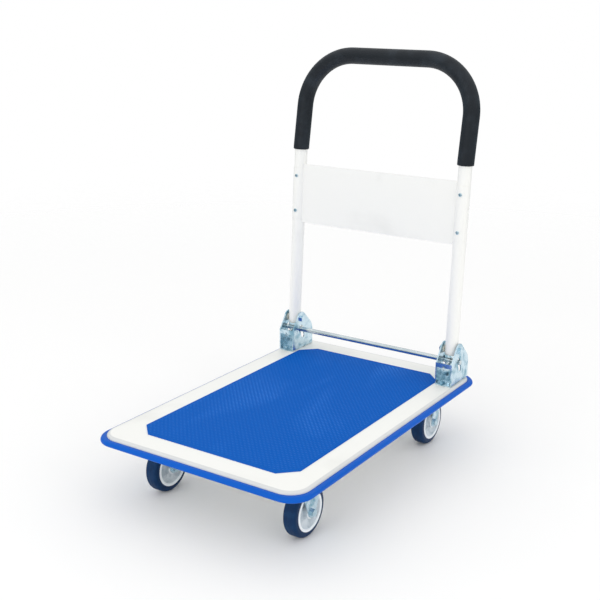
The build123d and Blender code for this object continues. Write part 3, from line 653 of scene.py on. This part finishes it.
def grid_mesh(name: str, points: np.ndarray, wrap: bool = True) -> bpy.types.Mesh:
    """A smooth mesh through a grid of points.

    Args:
        name: The mesh's name.
        points: An array of rows, columns and x, y, z. Its columns close on themselves.
        wrap: Whether its rows do too.

    Returns:
        The mesh, with its normals outward.
    """
    rows, columns = points.shape[:2]
    faces = []
    for i in range(rows if wrap else rows - 1):
        for j in range(columns):
            k, m = (i + 1) % rows, (j + 1) % columns
            faces.append((i * columns + j, i * columns + m, k * columns + m, k * columns + j))
    if not wrap:
        faces += [tuple(range(columns)), tuple((rows - 1) * columns + j for j in range(columns))]
    mesh = bpy.data.meshes.new(name)
    mesh.from_pydata(points.reshape(-1, 3).tolist(), [], faces)
    shell = bmesh.new()
    shell.from_mesh(mesh)
    bmesh.ops.recalc_face_normals(shell, faces=shell.faces)
    shell.to_mesh(mesh)
    shell.free()
    mesh.shade_smooth()
    mesh.set_sharp_from_angle(angle=CREASE)
    return mesh


def grown(name: str, base: bpy.types.Mesh, tree: bpy.types.NodeTree, look: Look,
          **values: Any) -> bpy.types.Object:
    """Runs a geometry tree on a mesh and keeps the result as a plain piece.

    Args:
        name: The piece's name.
        base: The mesh that the tree starts from.
        tree: The geometry tree.
        look: The piece's finish.
        values: The tree's inputs, by name with _ for a space.

    Returns:
        The piece.
    """
    seed = bpy.data.objects.new(name + "_seed", base)
    bpy.context.scene.collection.objects.link(seed)
    modifier = seed.modifiers.new("Grow", "NODES")
    modifier.node_group = tree
    for item in tree.interface.items_tree:
        key = item.name.replace(" ", "_")
        if item.in_out == "INPUT" and key in values:
            modifier[item.identifier] = values[key]
        elif item.in_out == "INPUT" and item.name == "Finish":
            modifier[item.identifier] = look.material
    depsgraph = bpy.context.evaluated_depsgraph_get()
    mesh = bpy.data.meshes.new_from_object(seed.evaluated_get(depsgraph), depsgraph=depsgraph)
    seed.modifiers.remove(modifier)
    bpy.data.objects.remove(seed)
    return new_piece(name, mesh, look)


class Growth(Graph):
    """A geometry tree with named inputs, which ends in Realize Instances and Set Material."""

    def __init__(self, name: str, **numbers: float) -> None:
        """Starts a tree.

        Args:
            name: The tree's name.
            numbers: Its inputs and their first values, by name with _ for a space.
        """
        super().__init__(bpy.data.node_groups.new(name, "GeometryNodeTree"))
        face = self.tree.interface
        face.new_socket("Geometry", in_out="INPUT", socket_type="NodeSocketGeometry")
        face.new_socket("Finish", in_out="INPUT", socket_type="NodeSocketMaterial")
        for key, value in numbers.items():
            kind = "NodeSocketInt" if isinstance(value, int) else "NodeSocketFloat"
            face.new_socket(key.replace("_", " "), in_out="INPUT", socket_type=kind).default_value = value
        face.new_socket("Geometry", in_out="OUTPUT", socket_type="NodeSocketGeometry")
        self.group = self.node("NodeGroupInput")

    def given(self, name: str) -> Value:
        """One of the tree's own inputs."""
        return self.out(self.group, name)

    def finish(self, geometry: bpy.types.NodeSocket) -> bpy.types.NodeTree:
        """Ends the tree.

        Args:
            geometry: What the tree puts out.

        Returns:
            The tree.
        """
        solid = self.node("GeometryNodeRealizeInstances", None, {"Geometry": geometry}).outputs[0]
        inputs = {"Geometry": solid, "Material": self.given("Finish")}
        painted = self.node("GeometryNodeSetMaterial", None, inputs).outputs[0]
        self.node("NodeGroupOutput", None, {"Geometry": painted})
        return self.tree


def sleeve_tree() -> bpy.types.NodeTree:
    """A hollow sleeve along a line, its ends rounded in to its bore.

    Returns:
        The geometry tree.
    """
    g = Growth("sleeve", Outer=14 * MM, Bore=12.5 * MM, Round=1 * MM, Sides=32)
    line = g.node("GeometryNodeMeshToCurve", None, {"Mesh": g.given("Geometry")}).outputs[0]
    run = g.out(g.node("GeometryNodeSplineParameter"), "Length")
    whole = g.out(g.node("GeometryNodeSplineLength"), "Length")
    near = run.least(whole - run) / g.given("Round")
    swell = (1 - (1 - near.least(1.0).most(0.0)) ** 2.0).most(0.0).root()
    inputs = {"Resolution": g.given("Sides"), "Radius": 1.0}
    ring = g.node("GeometryNodeCurvePrimitiveCircle", None, inputs).outputs[0]
    outer = g.given("Bore") + (g.given("Outer") - g.given("Bore")) * swell
    walls = []
    for radius in (outer, g.given("Bore")):
        inputs = {"Curve": line, "Profile Curve": ring, "Scale": radius}
        walls.append(g.node("GeometryNodeCurveToMesh", None, inputs).outputs[0])
    walls[1] = g.node("GeometryNodeFlipFaces", None, {"Mesh": walls[1]}).outputs[0]
    both = g.node("GeometryNodeJoinGeometry", None, {"Geometry": walls}).outputs[0]
    closed = g.node("GeometryNodeMergeByDistance", None, {"Geometry": both, "Distance": WELD}).outputs[0]
    return g.finish(g.node("GeometryNodeSetShadeSmooth", None, {"Geometry": closed}).outputs[0])


def wire_tree() -> bpy.types.NodeTree:
    """A round wire along a line, with closed ends.

    Returns:
        The geometry tree.
    """
    g = Growth("wire", Gauge=0.7 * MM, Sides=8)
    line = g.node("GeometryNodeMeshToCurve", None, {"Mesh": g.given("Geometry")}).outputs[0]
    inputs = {"Resolution": g.given("Sides"), "Radius": g.given("Gauge")}
    ring = g.node("GeometryNodeCurvePrimitiveCircle", None, inputs).outputs[0]
    inputs = {"Curve": line, "Profile Curve": ring, "Fill Caps": True}
    wire = g.node("GeometryNodeCurveToMesh", None, inputs).outputs[0]
    return g.finish(g.node("GeometryNodeSetShadeSmooth", None, {"Geometry": wire}).outputs[0])


def lozenge_tree() -> bpy.types.NodeTree:
    """Rows of low lozenges over a mat with cut corners, each row half a step along.

    Returns:
        The geometry tree.
    """
    g = Growth("lozenges", Width=0.358, Length=0.597, Cut=0.032, Margin=3 * MM, Step_X=9.57 * MM,
               Step_Y=11.01 * MM, Lozenge_Width=5.6 * MM, Lozenge_Length=7.6 * MM, Height=0.35 * MM,
               Foot=146.75 * MM, Columns=37, Rows=107)
    columns, rows = g.given("Columns"), g.given("Rows")
    inputs = {"Size X": (columns - 1) * g.given("Step X"), "Size Y": (rows - 1) * g.given("Step Y") * 0.5,
              "Vertices X": columns, "Vertices Y": rows}
    grid = g.node("GeometryNodeMeshGrid", None, inputs).outputs[0]
    odd = g.math("MODULO", g.math("MODULO", g.out(g.node("GeometryNodeInputIndex")), rows), 2.0)
    inputs = {"X": (odd - 0.5) * 0.5 * g.given("Step X"), "Z": g.given("Foot")}
    offset = g.node("ShaderNodeCombineXYZ", None, inputs)
    inputs = {"Geometry": grid, "Offset": offset.outputs[0]}
    grid = g.node("GeometryNodeSetPosition", None, inputs).outputs[0]
    place = g.node("ShaderNodeSeparateXYZ", None, {0: g.node("GeometryNodeInputPosition").outputs[0]})
    x, y = abs(g.out(place, "X")), abs(g.out(place, "Y"))
    room_x = g.given("Width") * 0.5 - g.given("Margin") - g.given("Lozenge Width") * 0.5
    room_y = g.given("Length") * 0.5 - g.given("Margin") - g.given("Lozenge Length") * 0.5
    reach = g.given("Width") * 0.5 + g.given("Length") * 0.5 - g.given("Cut") - g.given("Margin") * 2.5
    outside = (x > room_x).most(y > room_y).most(x + y > reach)
    grid = g.node("GeometryNodeDeleteGeometry", {"domain": "POINT"}, {"Geometry": grid, "Selection": outside})
    inputs = {"Vertices": 4, "Radius Top": LOZENGE_TOP, "Radius Bottom": 1.0, "Depth": 1.0}
    stud = g.node("GeometryNodeMeshCone", {"fill_type": "NGON"}, inputs).outputs[0]
    inputs = {"X": g.given("Lozenge Width") * 0.5, "Y": g.given("Lozenge Length") * 0.5,
              "Z": g.given("Height")}
    size = g.node("ShaderNodeCombineXYZ", None, inputs)
    inputs = {"Points": grid.outputs[0], "Instance": stud, "Scale": size.outputs[0]}
    studs = g.node("GeometryNodeInstanceOnPoints", None, inputs).outputs[0]
    both = g.node("GeometryNodeJoinGeometry", None, {"Geometry": [g.given("Geometry").socket, studs]})
    return g.finish(both.outputs[0])


# ---- lines and sections --------------------------------------------------------------
def arc(centre: Flat, radius: float, first: float, last: float, steps: int) -> list[Flat]:
    """Points along a circle's arc.

    Args:
        centre: The circle's middle.
        radius: Its radius.
        first: The angle where the arc starts, in degrees.
        last: The angle where it ends.
        steps: How many equal steps it takes.

    Returns:
        The points, one more than the steps.
    """
    angles = np.radians(np.linspace(first, last, steps + 1))
    return [(centre[0] + radius * math.cos(a), centre[1] + radius * math.sin(a)) for a in angles]


def rounded(points: Sequence[Flat], passes: int = 2) -> list[Flat]:
    """An open section with its corners cut round, its two ends kept.

    Args:
        points: The section's corners.
        passes: How many times the corners are cut.

    Returns:
        The smoother section.
    """
    line = [np.array(p, float) for p in points]
    for _ in range(passes):
        cut = [line[0]]
        for a, b in zip(line, line[1:]):
            cut += [a * 0.75 + b * 0.25, a * 0.25 + b * 0.75]
        line = cut + [line[-1]]
    return [tuple(p) for p in line]


def bent_line(corners: Sequence[Vector], radii: Sequence[float], step: float = 4 * MM) -> np.ndarray:
    """A line through corners, each inner corner rounded to its own radius.

    Args:
        corners: The corners, the two ends among them.
        radii: One radius for each inner corner.
        step: The spacing of points along the arcs.

    Returns:
        The points, one in each row.
    """
    points = [corners[0]]
    for before, corner, after, radius in zip(corners, corners[1:], corners[2:], radii):
        back, on = (before - corner).normalized(), (after - corner).normalized()
        half = back.angle(on) / 2
        middle = corner + (back + on).normalized() * radius / math.sin(half)
        first = corner + back * radius / math.tan(half) - middle
        last = corner + on * radius / math.tan(half) - middle
        turn = first.angle(last)
        count = max(4, round(radius * turn / step))
        points += [middle + (first * math.sin((1 - t) * turn) + last * math.sin(t * turn)) / math.sin(turn)
                   for t in (i / count for i in range(count + 1))]
    return np.array([tuple(p) for p in [*points, corners[-1]]])


def resampled(line: np.ndarray, step: float, end: float, finest: int) -> np.ndarray:
    """The same line with points at every step, closer at its two ends.

    Args:
        line: The points, one in each row.
        step: The usual spacing.
        end: How long the part with closer points is at each end.
        finest: How many points that part has.

    Returns:
        The new points.
    """
    run = np.concatenate([[0], np.cumsum(np.linalg.norm(np.diff(line, axis=0), axis=1))])
    close = end * (1 - np.cos(np.linspace(0, math.pi / 2, finest)))
    inner = np.linspace(end, run[-1] - end, max(2, round(run[-1] / step)))[1:-1]
    places = np.concatenate([close, inner, run[-1] - close[::-1]])
    return np.stack([np.interp(places, run, line[:, k]) for k in range(3)], 1)


def line_mesh(name: str, points: np.ndarray) -> bpy.types.Mesh:
    """A mesh of edges through a line of points.

    Args:
        name: The mesh's name.
        points: The points, one in each row.

    Returns:
        The mesh.
    """
    mesh = bpy.data.meshes.new(name)
    mesh.from_pydata(points.tolist(), [(i, i + 1) for i in range(len(points) - 1)], [])
    return mesh


def set_share(mesh: bpy.types.Mesh, name: str, values: Iterable[float]) -> None:
    """Stores a number at each point of a mesh."""
    mesh.attributes.new(name, "FLOAT", "POINT").data.foreach_set("value", list(values))


# ---- the deck's soft pieces ------------------------------------------------------------
@dataclass
class DeckMat:
    """The embossed mat that is glued on the pan."""

    cut: float = 32 * MM
    stud: float = 0.4 * MM
    sink: float = 0.05 * MM
    edge: float = 0.4 * MM

    def slab(self) -> bpy.types.Mesh:
        """The mat without its lozenges: a plate with cut corners and a softened upper edge.

        Returns:
            Its mesh.
        """
        low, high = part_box("deck_mat")
        x, y, top = high.x, high.y, high.z - self.stud + self.sink
        mesh = bpy.data.meshes.new("mat_slab")
        rings = []
        for inset, z in ((0.0, low.z), (0.0, top - self.edge), (self.edge * 0.3, top - self.edge * 0.3),
                         (self.edge, top)):
            a, b, c = x - inset, y - inset, self.cut - inset * 0.6
            rings.append([(a, b - c, z), (a - c, b, z), (c - a, b, z), (-a, b - c, z),
                          (-a, c - b, z), (c - a, -b, z), (a - c, -b, z), (a, c - b, z)])
        count, last = len(rings[0]), len(rings) - 1
        faces = [tuple(reversed(range(count))), tuple(last * count + k for k in range(count))]
        for r in range(last):
            for k in range(count):
                here, on = count * r + k, count * r + (k + 1) % count
                faces.append((here, on, on + count, here + count))
        mesh.from_pydata([p for ring in rings for p in ring], [], faces)
        return mesh

    def build(self) -> None:
        """Makes the mat with its lozenges."""
        low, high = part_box("deck_mat")
        piece = grown("embossed_mat", self.slab(), lozenge_tree(), Look.MAT, Width=high.x - low.x,
                      Length=high.y - low.y, Cut=self.cut, Foot=high.z - self.stud, Height=self.stud)
        settle(piece, "deck", "deck_mat")


@dataclass
class EdgeStrip:
    """The soft strip round the pan, its two ends meeting behind."""

    pan_radius: float = 41 * MM
    nose_radius: float = 45 * MM
    drop: float = 1 * MM
    lower_round: float = 3 * MM
    upper_round: float = 7.5 * MM
    sheet: float = 1.5 * MM
    lip: float = 2.5 * MM
    lip_height: float = 7.5 * MM
    foot_bevel: float = 0.6 * MM
    lip_bevel: float = 0.8 * MM
    seat_bevel: float = 0.4 * MM
    joint: float = 0.5 * MM
    lower_steps: int = 6
    upper_steps: int = 10
    corner_steps: int = 20
    side_steps: int = 10

    def outline(self, half_x: float, half_y: float, radius: float) -> tuple[np.ndarray, np.ndarray]:
        """A rounded rectangle from the middle of its rear side, clockwise from above.

        Args:
            half_x: Half its width.
            half_y: Half its length.
            radius: Its corners' radius.

        Returns:
            Its points and its outward normals.
        """
        points, normals = [], []
        x, y = half_x - radius, half_y - radius
        legs = [((self.joint / 2, y), 90), ((x, y), 0), ((x, -y), -90), ((-x, -y), -180), ((-x, y), -270)]
        for (centre, angle), (after, _) in zip(legs, [*legs[1:], ((-self.joint / 2, y), 0)]):
            for turn in np.radians(np.linspace(angle + 90, angle, self.corner_steps + 1)) if points else []:
                points.append((centre[0] + radius * math.cos(turn), centre[1] + radius * math.sin(turn)))
                normals.append((math.cos(turn), math.sin(turn)))
            turn = math.radians(angle)
            normal = np.array((math.cos(turn), math.sin(turn)))
            for t in np.linspace(0, 1, self.side_steps + 1)[0 if not points else 1 :]:
                spot = np.array(centre) * (1 - t) + np.array(after) * t + normal * radius
                points.append(tuple(spot))
                normals.append(tuple(normal))
        return np.array(points), np.array(normals)

    def section(self, height: float, floor: float) -> list[Point]:
        """The strip's section, from its inner lip under the pan, round its nose and back.

        Args:
            height: The strip's whole height.
            floor: The height of the seat under the pan's wall.

        Returns:
            Points as (offset from the pan, share of the way to the nose, height).
        """
        low, high, top = self.lower_round, self.upper_round, height - self.drop
        nose = [(x, 1.0, z) for x, z in arc((-low, low), low, -90, 0, self.lower_steps)]
        nose += [(x, 1.0, z) for x, z in arc((-high, top - high), high, 0, 90, self.upper_steps)][1:]
        inner, wall = -self.sheet - self.lip, -self.sheet
        foot = [(inner, self.foot_bevel), (inner + self.foot_bevel, 0.0), (0.0, 0.0)]
        # a small bead where the top turns down beside the pan's wall
        bead = [(1.5 * MM, top - 0.35 * MM), (0.9 * MM, top - 0.05 * MM), (0.3 * MM, top - 0.1 * MM),
                (0.02 * MM, top - 0.5 * MM), (0.02 * MM, floor)]
        lip = [(wall, floor), (wall, self.lip_height - self.seat_bevel),
               (wall - self.seat_bevel, self.lip_height), (inner + self.lip_bevel, self.lip_height),
               (inner, self.lip_height - self.lip_bevel)]
        before, after = ([(x, 0.0, z) for x, z in run] for run in (foot, bead + lip))
        return [*before, *nose, *after]

    def build(self) -> None:
        """Sweeps the section round the deck."""
        low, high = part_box("deck_bumper")
        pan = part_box("deck_pan")
        inner, normals = self.outline(pan[1].x, pan[1].y, self.pan_radius)
        outer, _ = self.outline(high.x, high.y, self.nose_radius)
        section = self.section(high.z - low.z, pan[0].z - low.z)
        grid = np.zeros((len(inner), len(section), 3))
        for k, (offset, share, z) in enumerate(section):
            flat = inner + normals * offset + share * (outer - inner)
            grid[:, k, :2], grid[:, k, 2] = flat, low.z + z
        piece = new_piece("edge_strip", grid_mesh("edge_strip", grid, wrap=False), Look.EDGE)
        settle(piece, "deck", "deck_bumper")


# ---- the handle ---------------------------------------------------------------------------
@dataclass
class Handle:
    """The bent tube and the foam sleeve over its upper part."""

    lower_lean: float = 3.3
    upper_lean: float = 9.3
    lower: float = 400 * MM
    upper: float = 205 * MM
    leg_bend: float = 60 * MM
    top_bend: float = 112 * MM
    past_pivot: float = 8.5 * MM
    tube: float = 14 * MM
    wall: float = 1.5 * MM
    foam: float = 3.6 * MM
    grip_start: float = 394 * MM
    grip_round: float = 2.2 * MM
    grip_room: float = 0.05 * MM
    tube_round: float = 0.5 * MM
    tube_step: float = 6 * MM
    grip_step: float = 5 * MM
    tube_end_points: int = 4
    grip_end_points: int = 8
    sides: int = 48

    def line(self, along: float) -> np.ndarray:
        """The handle's middle line, up the right leg, over and down the left.

        Args:
            along: Where it starts and ends, as a distance from the pivot along the leg.

        Returns:
            Its points, one in each row.
        """
        pivot = Vector(next(j for j in frame["joints"] if j["name"] == "handle_fold")["pos_m"])
        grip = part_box("handle_grip")
        pivot.x = grip[1].x - self.tube - self.foam
        leans = map(math.radians, (self.lower_lean, self.upper_lean))
        lean = [Vector((0, math.sin(a), math.cos(a))) for a in leans]
        knee = pivot + lean[0] * self.lower
        right = [pivot + lean[0] * along, knee, knee + lean[1] * self.upper]
        left = [Vector((-p.x, p.y, p.z)) for p in reversed(right)]
        return bent_line([*right, *left], [self.leg_bend, self.top_bend, self.top_bend, self.leg_bend])

    def build(self) -> None:
        """Makes the tube and the grip."""
        tree = sleeve_tree()
        points = resampled(self.line(-self.past_pivot), self.tube_step, self.tube_round,
                           self.tube_end_points)
        line = line_mesh("tube_line", points)
        tube = grown("bent_tube", line, tree, Look.ENAMEL, Outer=self.tube, Bore=self.tube - self.wall,
                     Round=self.tube_round, Sides=self.sides)
        settle(tube, "handle", "handle_tube")
        points = resampled(self.line(self.grip_start), self.grip_step, self.grip_round,
                           self.grip_end_points)
        line = line_mesh("grip_line", points)
        grip = grown("foam_grip", line, tree, Look.FOAM, Outer=self.tube + self.foam,
                     Bore=self.tube + self.grip_room, Round=self.grip_round, Sides=self.sides)
        settle(grip, "handle", "handle_grip")


# ---- the lock's springs ----------------------------------------------------------------------
@dataclass
class LockSpring:
    """A close-wound tension spring from the bracket's bridge to the lock rod."""

    side: str
    gauge: float = 0.66 * MM
    coil: float = 3.8 * MM
    turns: int = 12
    pitch: float = 1.4 * MM
    ring: float = 6.55 * MM
    hook: float = 3.6 * MM
    wire_reach: float = 4.3 * MM
    lead: float = 0.35
    turn_steps: int = 16
    ring_angles: Flat = (325, 12)
    ring_points: int = 40
    hook_angles: Flat = (0, 285)
    hook_points: int = 28

    def build(self) -> None:
        """Winds the spring between the deck and the rod."""
        node = f"lock_spring_{self.side}"
        low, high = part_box(node)
        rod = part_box("lock_rod")
        rod_middle = Vector(((low.x + high.x) / 2, (rod[0].y + rod[1].y) / 2, (rod[0].z + rod[1].z) / 2))
        hook_middle = Vector((rod_middle.x, low.y + self.wire_reach, low.z + self.wire_reach))
        pull = hook_middle - rod_middle
        span = pull.length
        along, across = pull.normalized(), Vector((1, 0, 0))
        up = along.cross(across)
        length = self.turns * self.pitch
        start = self.ring + (span - self.ring - self.hook - length) / 2
        points = [(self.ring * math.cos(a), 0.0, self.ring * math.sin(a))
                  for a in np.radians(np.linspace(*self.ring_angles, self.ring_points))]
        for k in range(self.turns * self.turn_steps + 1):
            turn = k / self.turn_steps
            swell = min(1.0, turn / self.lead, (self.turns - turn) / self.lead)
            radius = self.coil * math.sin(math.pi / 2 * max(0.0, swell))
            angle = 2 * math.pi * turn
            points.append((start + turn * self.pitch, radius * math.cos(angle), radius * math.sin(angle)))
        points += [(span - self.hook * math.cos(a), 0.0, self.hook * math.sin(a))
                   for a in np.radians(np.linspace(*self.hook_angles, self.hook_points))]
        path = np.array([tuple(rod_middle + along * t + across * u + up * v) for t, u, v in points])
        piece = grown(f"coil_spring_{self.side}", line_mesh(node, path), wire_tree(), Look.STEEL,
                      Gauge=self.gauge)
        tuple(rod_middle + along * (start + length))
        tuple(rod_middle + along * start)
        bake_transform(piece)
        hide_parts(node)
        LOG.info("%s between deck and lock: %d faces", piece.name, len(piece.data.polygons))


# ---- wheels --------------------------------------------------------------------------------------
@dataclass
class Wheel:
    """One wheel's tyre and hub, turned about its axle."""

    end: str
    side: str
    radius: float = 50.8 * MM
    width: float = 28 * MM
    shoulder: float = 7.5 * MM
    seat: float = 34 * MM
    rim: float = 38.5 * MM
    rim_proud: float = 1.3 * MM
    web: float = 5.5 * MM
    boss: float = 13 * MM
    boss_half: float = 16.7 * MM
    bore: float = 9 * MM
    sides: int = 96

    def turned(self, name: str, section: Sequence[Flat]) -> bpy.types.Mesh:
        """A closed section turned about the axle.

        Args:
            name: The mesh's name.
            section: Its (across, radius) points.

        Returns:
            The mesh.
        """
        low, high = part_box(f"{self.end}_tyre_{self.side}")
        middle = (low + high) / 2
        grid = np.zeros((self.sides, len(section), 3))
        for i in range(self.sides):
            turn = 2 * math.pi * i / self.sides
            for k, (across, radius) in enumerate(section):
                grid[i, k] = (middle.x + across, middle.y + radius * math.sin(turn),
                              middle.z + radius * math.cos(turn))
        return grid_mesh(name, grid)

    def tyre(self) -> bpy.types.Object:
        """The tyre: flat tread with a fine mould line, round shoulders, a bead at each side.

        Returns:
            The piece.
        """
        half, low = self.width / 2, self.radius - self.shoulder
        right = [(half, self.seat), (half, self.rim + 0.2 * MM), (half + 0.25 * MM, self.rim + 1.2 * MM),
                 (half, self.rim + 2.6 * MM)]
        right += arc((half - self.shoulder, low), self.shoulder, 0, 84, 12)
        right += [(half * 0.3, self.radius - 0.1 * MM), (0.5 * MM, self.radius - 0.1 * MM),
                  (0.2 * MM, self.radius)]
        section = right + [(-x, r) for x, r in reversed(right)]
        mesh = self.turned(f"tyre_{self.end}_{self.side}", section)
        tread = [min(1.0, max(0.0, (r - low) / (self.shoulder * 0.8))) for _, r in section]
        set_share(mesh, "tread", tread * self.sides)
        return new_piece(f"{self.end}_tyre_{self.side}_rubber", mesh, Look.TYRE)

    def hub(self) -> bpy.types.Object:
        """The hub: raised rim, curved dish and boss on both sides.

        Returns:
            The piece.
        """
        half = self.width / 2
        crest = half + self.rim_proud
        right = [(self.boss_half, self.bore), (self.boss_half, self.bore + 0.1 * MM),
                 (self.boss_half, self.boss - 0.5 * MM), (self.boss_half - 0.5 * MM, self.boss)]
        dish = [(self.boss_half - 1 * MM, self.boss + 0.1 * MM), (self.web + 1 * MM, self.boss + 1.2 * MM),
                (self.web, self.boss + 4 * MM), (self.web + 0.6 * MM, self.seat - 9 * MM),
                (self.web + 3.2 * MM, self.seat - 4 * MM), (crest - 2.2 * MM, self.seat - 1.3 * MM)]
        dish = rounded(dish)
        edge = rounded([(crest - 1.6 * MM, self.seat - 1 * MM), (crest, self.seat - 0.6 * MM),
                        (crest, self.rim - 0.4 * MM), (crest - 0.6 * MM, self.rim),
                        (half - 0.3 * MM, self.rim)])
        section = right + dish + edge + [(half - 0.3 * MM, self.seat)]
        marks = [0.0] * len(right) + [1.0] * len(dish) + [0.0] * (len(edge) + 1)
        section += [(-x, r) for x, r in reversed(section)]
        mesh = self.turned(f"hub_{self.end}_{self.side}", section)
        set_share(mesh, "dish", (marks + marks[::-1]) * self.sides)
        return new_piece(f"{self.end}_hub_{self.side}_dished", mesh, Look.HUB)

    def build(self) -> None:
        """Makes the tyre and the hub."""
        body = f"{self.end}_wheel_{self.side}"
        settle(self.tyre(), body, f"{self.end}_tyre_{self.side}")
        settle(self.hub(), body, f"{self.end}_hub_{self.side}")


# ---- pieces that keep their CAD shape -----------------------------------------------------------
@dataclass
class KeptPieces:
    """The CAD nodes that stay in view, each with its finish."""

    # where two looks share a slot the later one counts, so white_enamel is the plain enamel here
    by_slot: dict[str, Look] = field(default_factory=lambda: {look.slot: look for look in Look})

    def build(self) -> None:
        """Dresses every CAD node that is shown."""
        slots = {row["node"]: row["material_slot"] for row in frame["record"]["subparts"]}
        for name, node in frame["nodes"].items():
            look = Look.PAN if name == "deck_pan" else self.by_slot[slots[name]]
            if not node.material_slots:
                node.data.materials.append(look.material)
            for holder in node.material_slots:
                holder.material = look.material
            look.slot
        LOG.info("%d CAD nodes dressed", len(frame["nodes"]))


# ---- floor, light and camera -------------------------------------------------------------------
@dataclass
class Studio:
    """A pale floor, soft light and the camera."""

    camera_place: Point = (1.0891, -1.6493, 0.9496)
    azimuth: float = 33.464
    elevation: float = 16.512
    roll: float = 0.402
    lens: float = 62.154
    floor_radius: float = 4.0
    floor_fade: Flat = (1.3, 3.6)
    floor_drop: float = 0.2 * MM
    floor_sides: int = 64
    sensor: float = 36.0

    def camera(self) -> None:
        """Stands the camera where the cart is seen from its front right."""
        a, e, r = map(math.radians, (self.azimuth, self.elevation, self.roll))
        back = Vector((math.sin(a) * math.cos(e), -math.cos(a) * math.cos(e), math.sin(e)))
        level = Vector((math.cos(a), math.sin(a), 0))
        above = back.cross(level)
        right = level * math.cos(r) + above * math.sin(r)
        up = above * math.cos(r) - level * math.sin(r)
        data = bpy.data.cameras.new("camera")
        data.lens, data.sensor_width, data.sensor_fit = self.lens, self.sensor, "HORIZONTAL"
        camera = bpy.data.objects.new("camera", data)
        turn = Matrix((right, up, back)).transposed().to_4x4()
        camera.matrix_world = Matrix.Translation(self.camera_place) @ turn
        bpy.context.scene.collection.objects.link(camera)
        bpy.context.scene.camera = camera

    def floor(self) -> None:
        """Lays a pale disc on the ground that fades out to the backdrop."""
        mesh = bpy.data.meshes.new("floor")
        rim = [(self.floor_radius * math.cos(t), self.floor_radius * math.sin(t), -self.floor_drop)
               for t in np.linspace(0, 2 * math.pi, self.floor_sides + 1)[:-1]]
        mesh.from_pydata(rim, [], [tuple(range(self.floor_sides))])
        s = Shading("floor_paint", Specular_IOR_Level=0.0)
        away = (s.axis("X") ** 2.0 + s.axis("Y") ** 2.0).root()
        s.feed(s.surface.inputs["Alpha"], 1 - away.ramp(*self.floor_fade))
        tint = s.blend(s.noise(0.6, 2) * 0.3, (0.96, 0.96, 0.96), (0.94, 0.94, 0.94))
        mesh.materials.append(s.dress(tint, 0.9))
        floor = bpy.data.objects.new("floor", mesh)
        bpy.context.scene.collection.objects.link(floor)

    def sky(self) -> None:
        """A white backdrop, an even soft light, and a dim band low down that only mirrors."""
        world = bpy.data.worlds.new("studio")
        world.use_nodes = True
        bpy.context.scene.world = world
        g = Graph(world.node_tree)
        g.tree.nodes.clear()
        direction = g.node("ShaderNodeTexCoord").outputs["Generated"]
        height = g.out(g.node("ShaderNodeSeparateXYZ", None, {0: direction}), "Z")
        room = [(0.0, (0.95, 0.95, 0.94)), (0.5, (1.08, 1.08, 1.06)), (0.75, (1.0, 1.0, 1.0)),
                (1.0, (1.0, 1.0, 1.0))]
        mirror = [(0.0, (0.3, 0.34, 0.36)), (0.4, (0.14, 0.2, 0.23)), (0.5, (0.06, 0.11, 0.14)),
                  (0.58, (0.16, 0.24, 0.28)), (0.68, (0.9, 0.94, 0.96)), (1.0, (1.15, 1.15, 1.15))]
        lights = []
        for stops in (room, mirror):
            ramp = g.node("ShaderNodeValToRGB", {"stops": stops}, {"Fac": height * 0.5 + 0.5})
            lights.append(g.node("ShaderNodeBackground", None, {"Color": ramp.outputs[0]}).outputs[0])
        path = g.node("ShaderNodeLightPath").outputs
        inputs = {0: path["Is Glossy Ray"], 1: lights[0], 2: lights[1]}
        inward = g.node("ShaderNodeMixShader", None, inputs).outputs[0]
        plain = g.node("ShaderNodeBackground", None, {"Color": (1.0, 1.0, 1.0)}).outputs[0]
        both = g.node("ShaderNodeMixShader", None, {0: path["Is Camera Ray"], 1: inward, 2: plain})
        g.node("ShaderNodeOutputWorld", None, {"Surface": both.outputs[0]})

    def lamp(self, name: str, place: Point, aim: Point, size: float, power: float,
             colour: Colour = (1.0, 1.0, 1.0)) -> None:
        """Hangs a square soft light.

        Args:
            name: Its name.
            place: Where it hangs.
            aim: What it faces.
            size: Its side.
            power: Its watts.
            colour: Its colour.
        """
        data = bpy.data.lights.new(name, "AREA")
        data.shape, data.size, data.energy, data.color = "SQUARE", size, power, colour
        lamp = bpy.data.objects.new(name, data)
        lamp.location = place
        lamp.rotation_euler = (Vector(aim) - Vector(place)).to_track_quat("-Z", "Y").to_euler()
        bpy.context.scene.collection.objects.link(lamp)

    def build(self) -> None:
        """Sets up the whole studio."""
        self.camera()
        self.floor()
        self.sky()
        self.lamp("key", place=(-0.3, -3.2, 1.3), aim=(0, 0, 0.4), size=1.6, power=12.5,
                  colour=(1.0, 0.99, 0.96))
        self.lamp("side", place=(2.8, -0.6, 1.6), aim=(0, 0, 0.2), size=1.2, power=5)
        scene = bpy.context.scene
        scene.view_settings.view_transform = "Standard"
        scene.view_settings.look = "None"


def main() -> None:
    """Builds the studio and the cart's pieces in order."""
    logging.basicConfig(level=logging.INFO, format="%(name)s: %(message)s")
    Studio().build()
    KeptPieces().build()
    DeckMat().build()
    EdgeStrip().build()
    Handle().build()
    for side in SIDES:
        LockSpring(side).build()
        for end in ("front", "rear"):
            Wheel(end, side).build()


if __name__ == "__main__":
    main()
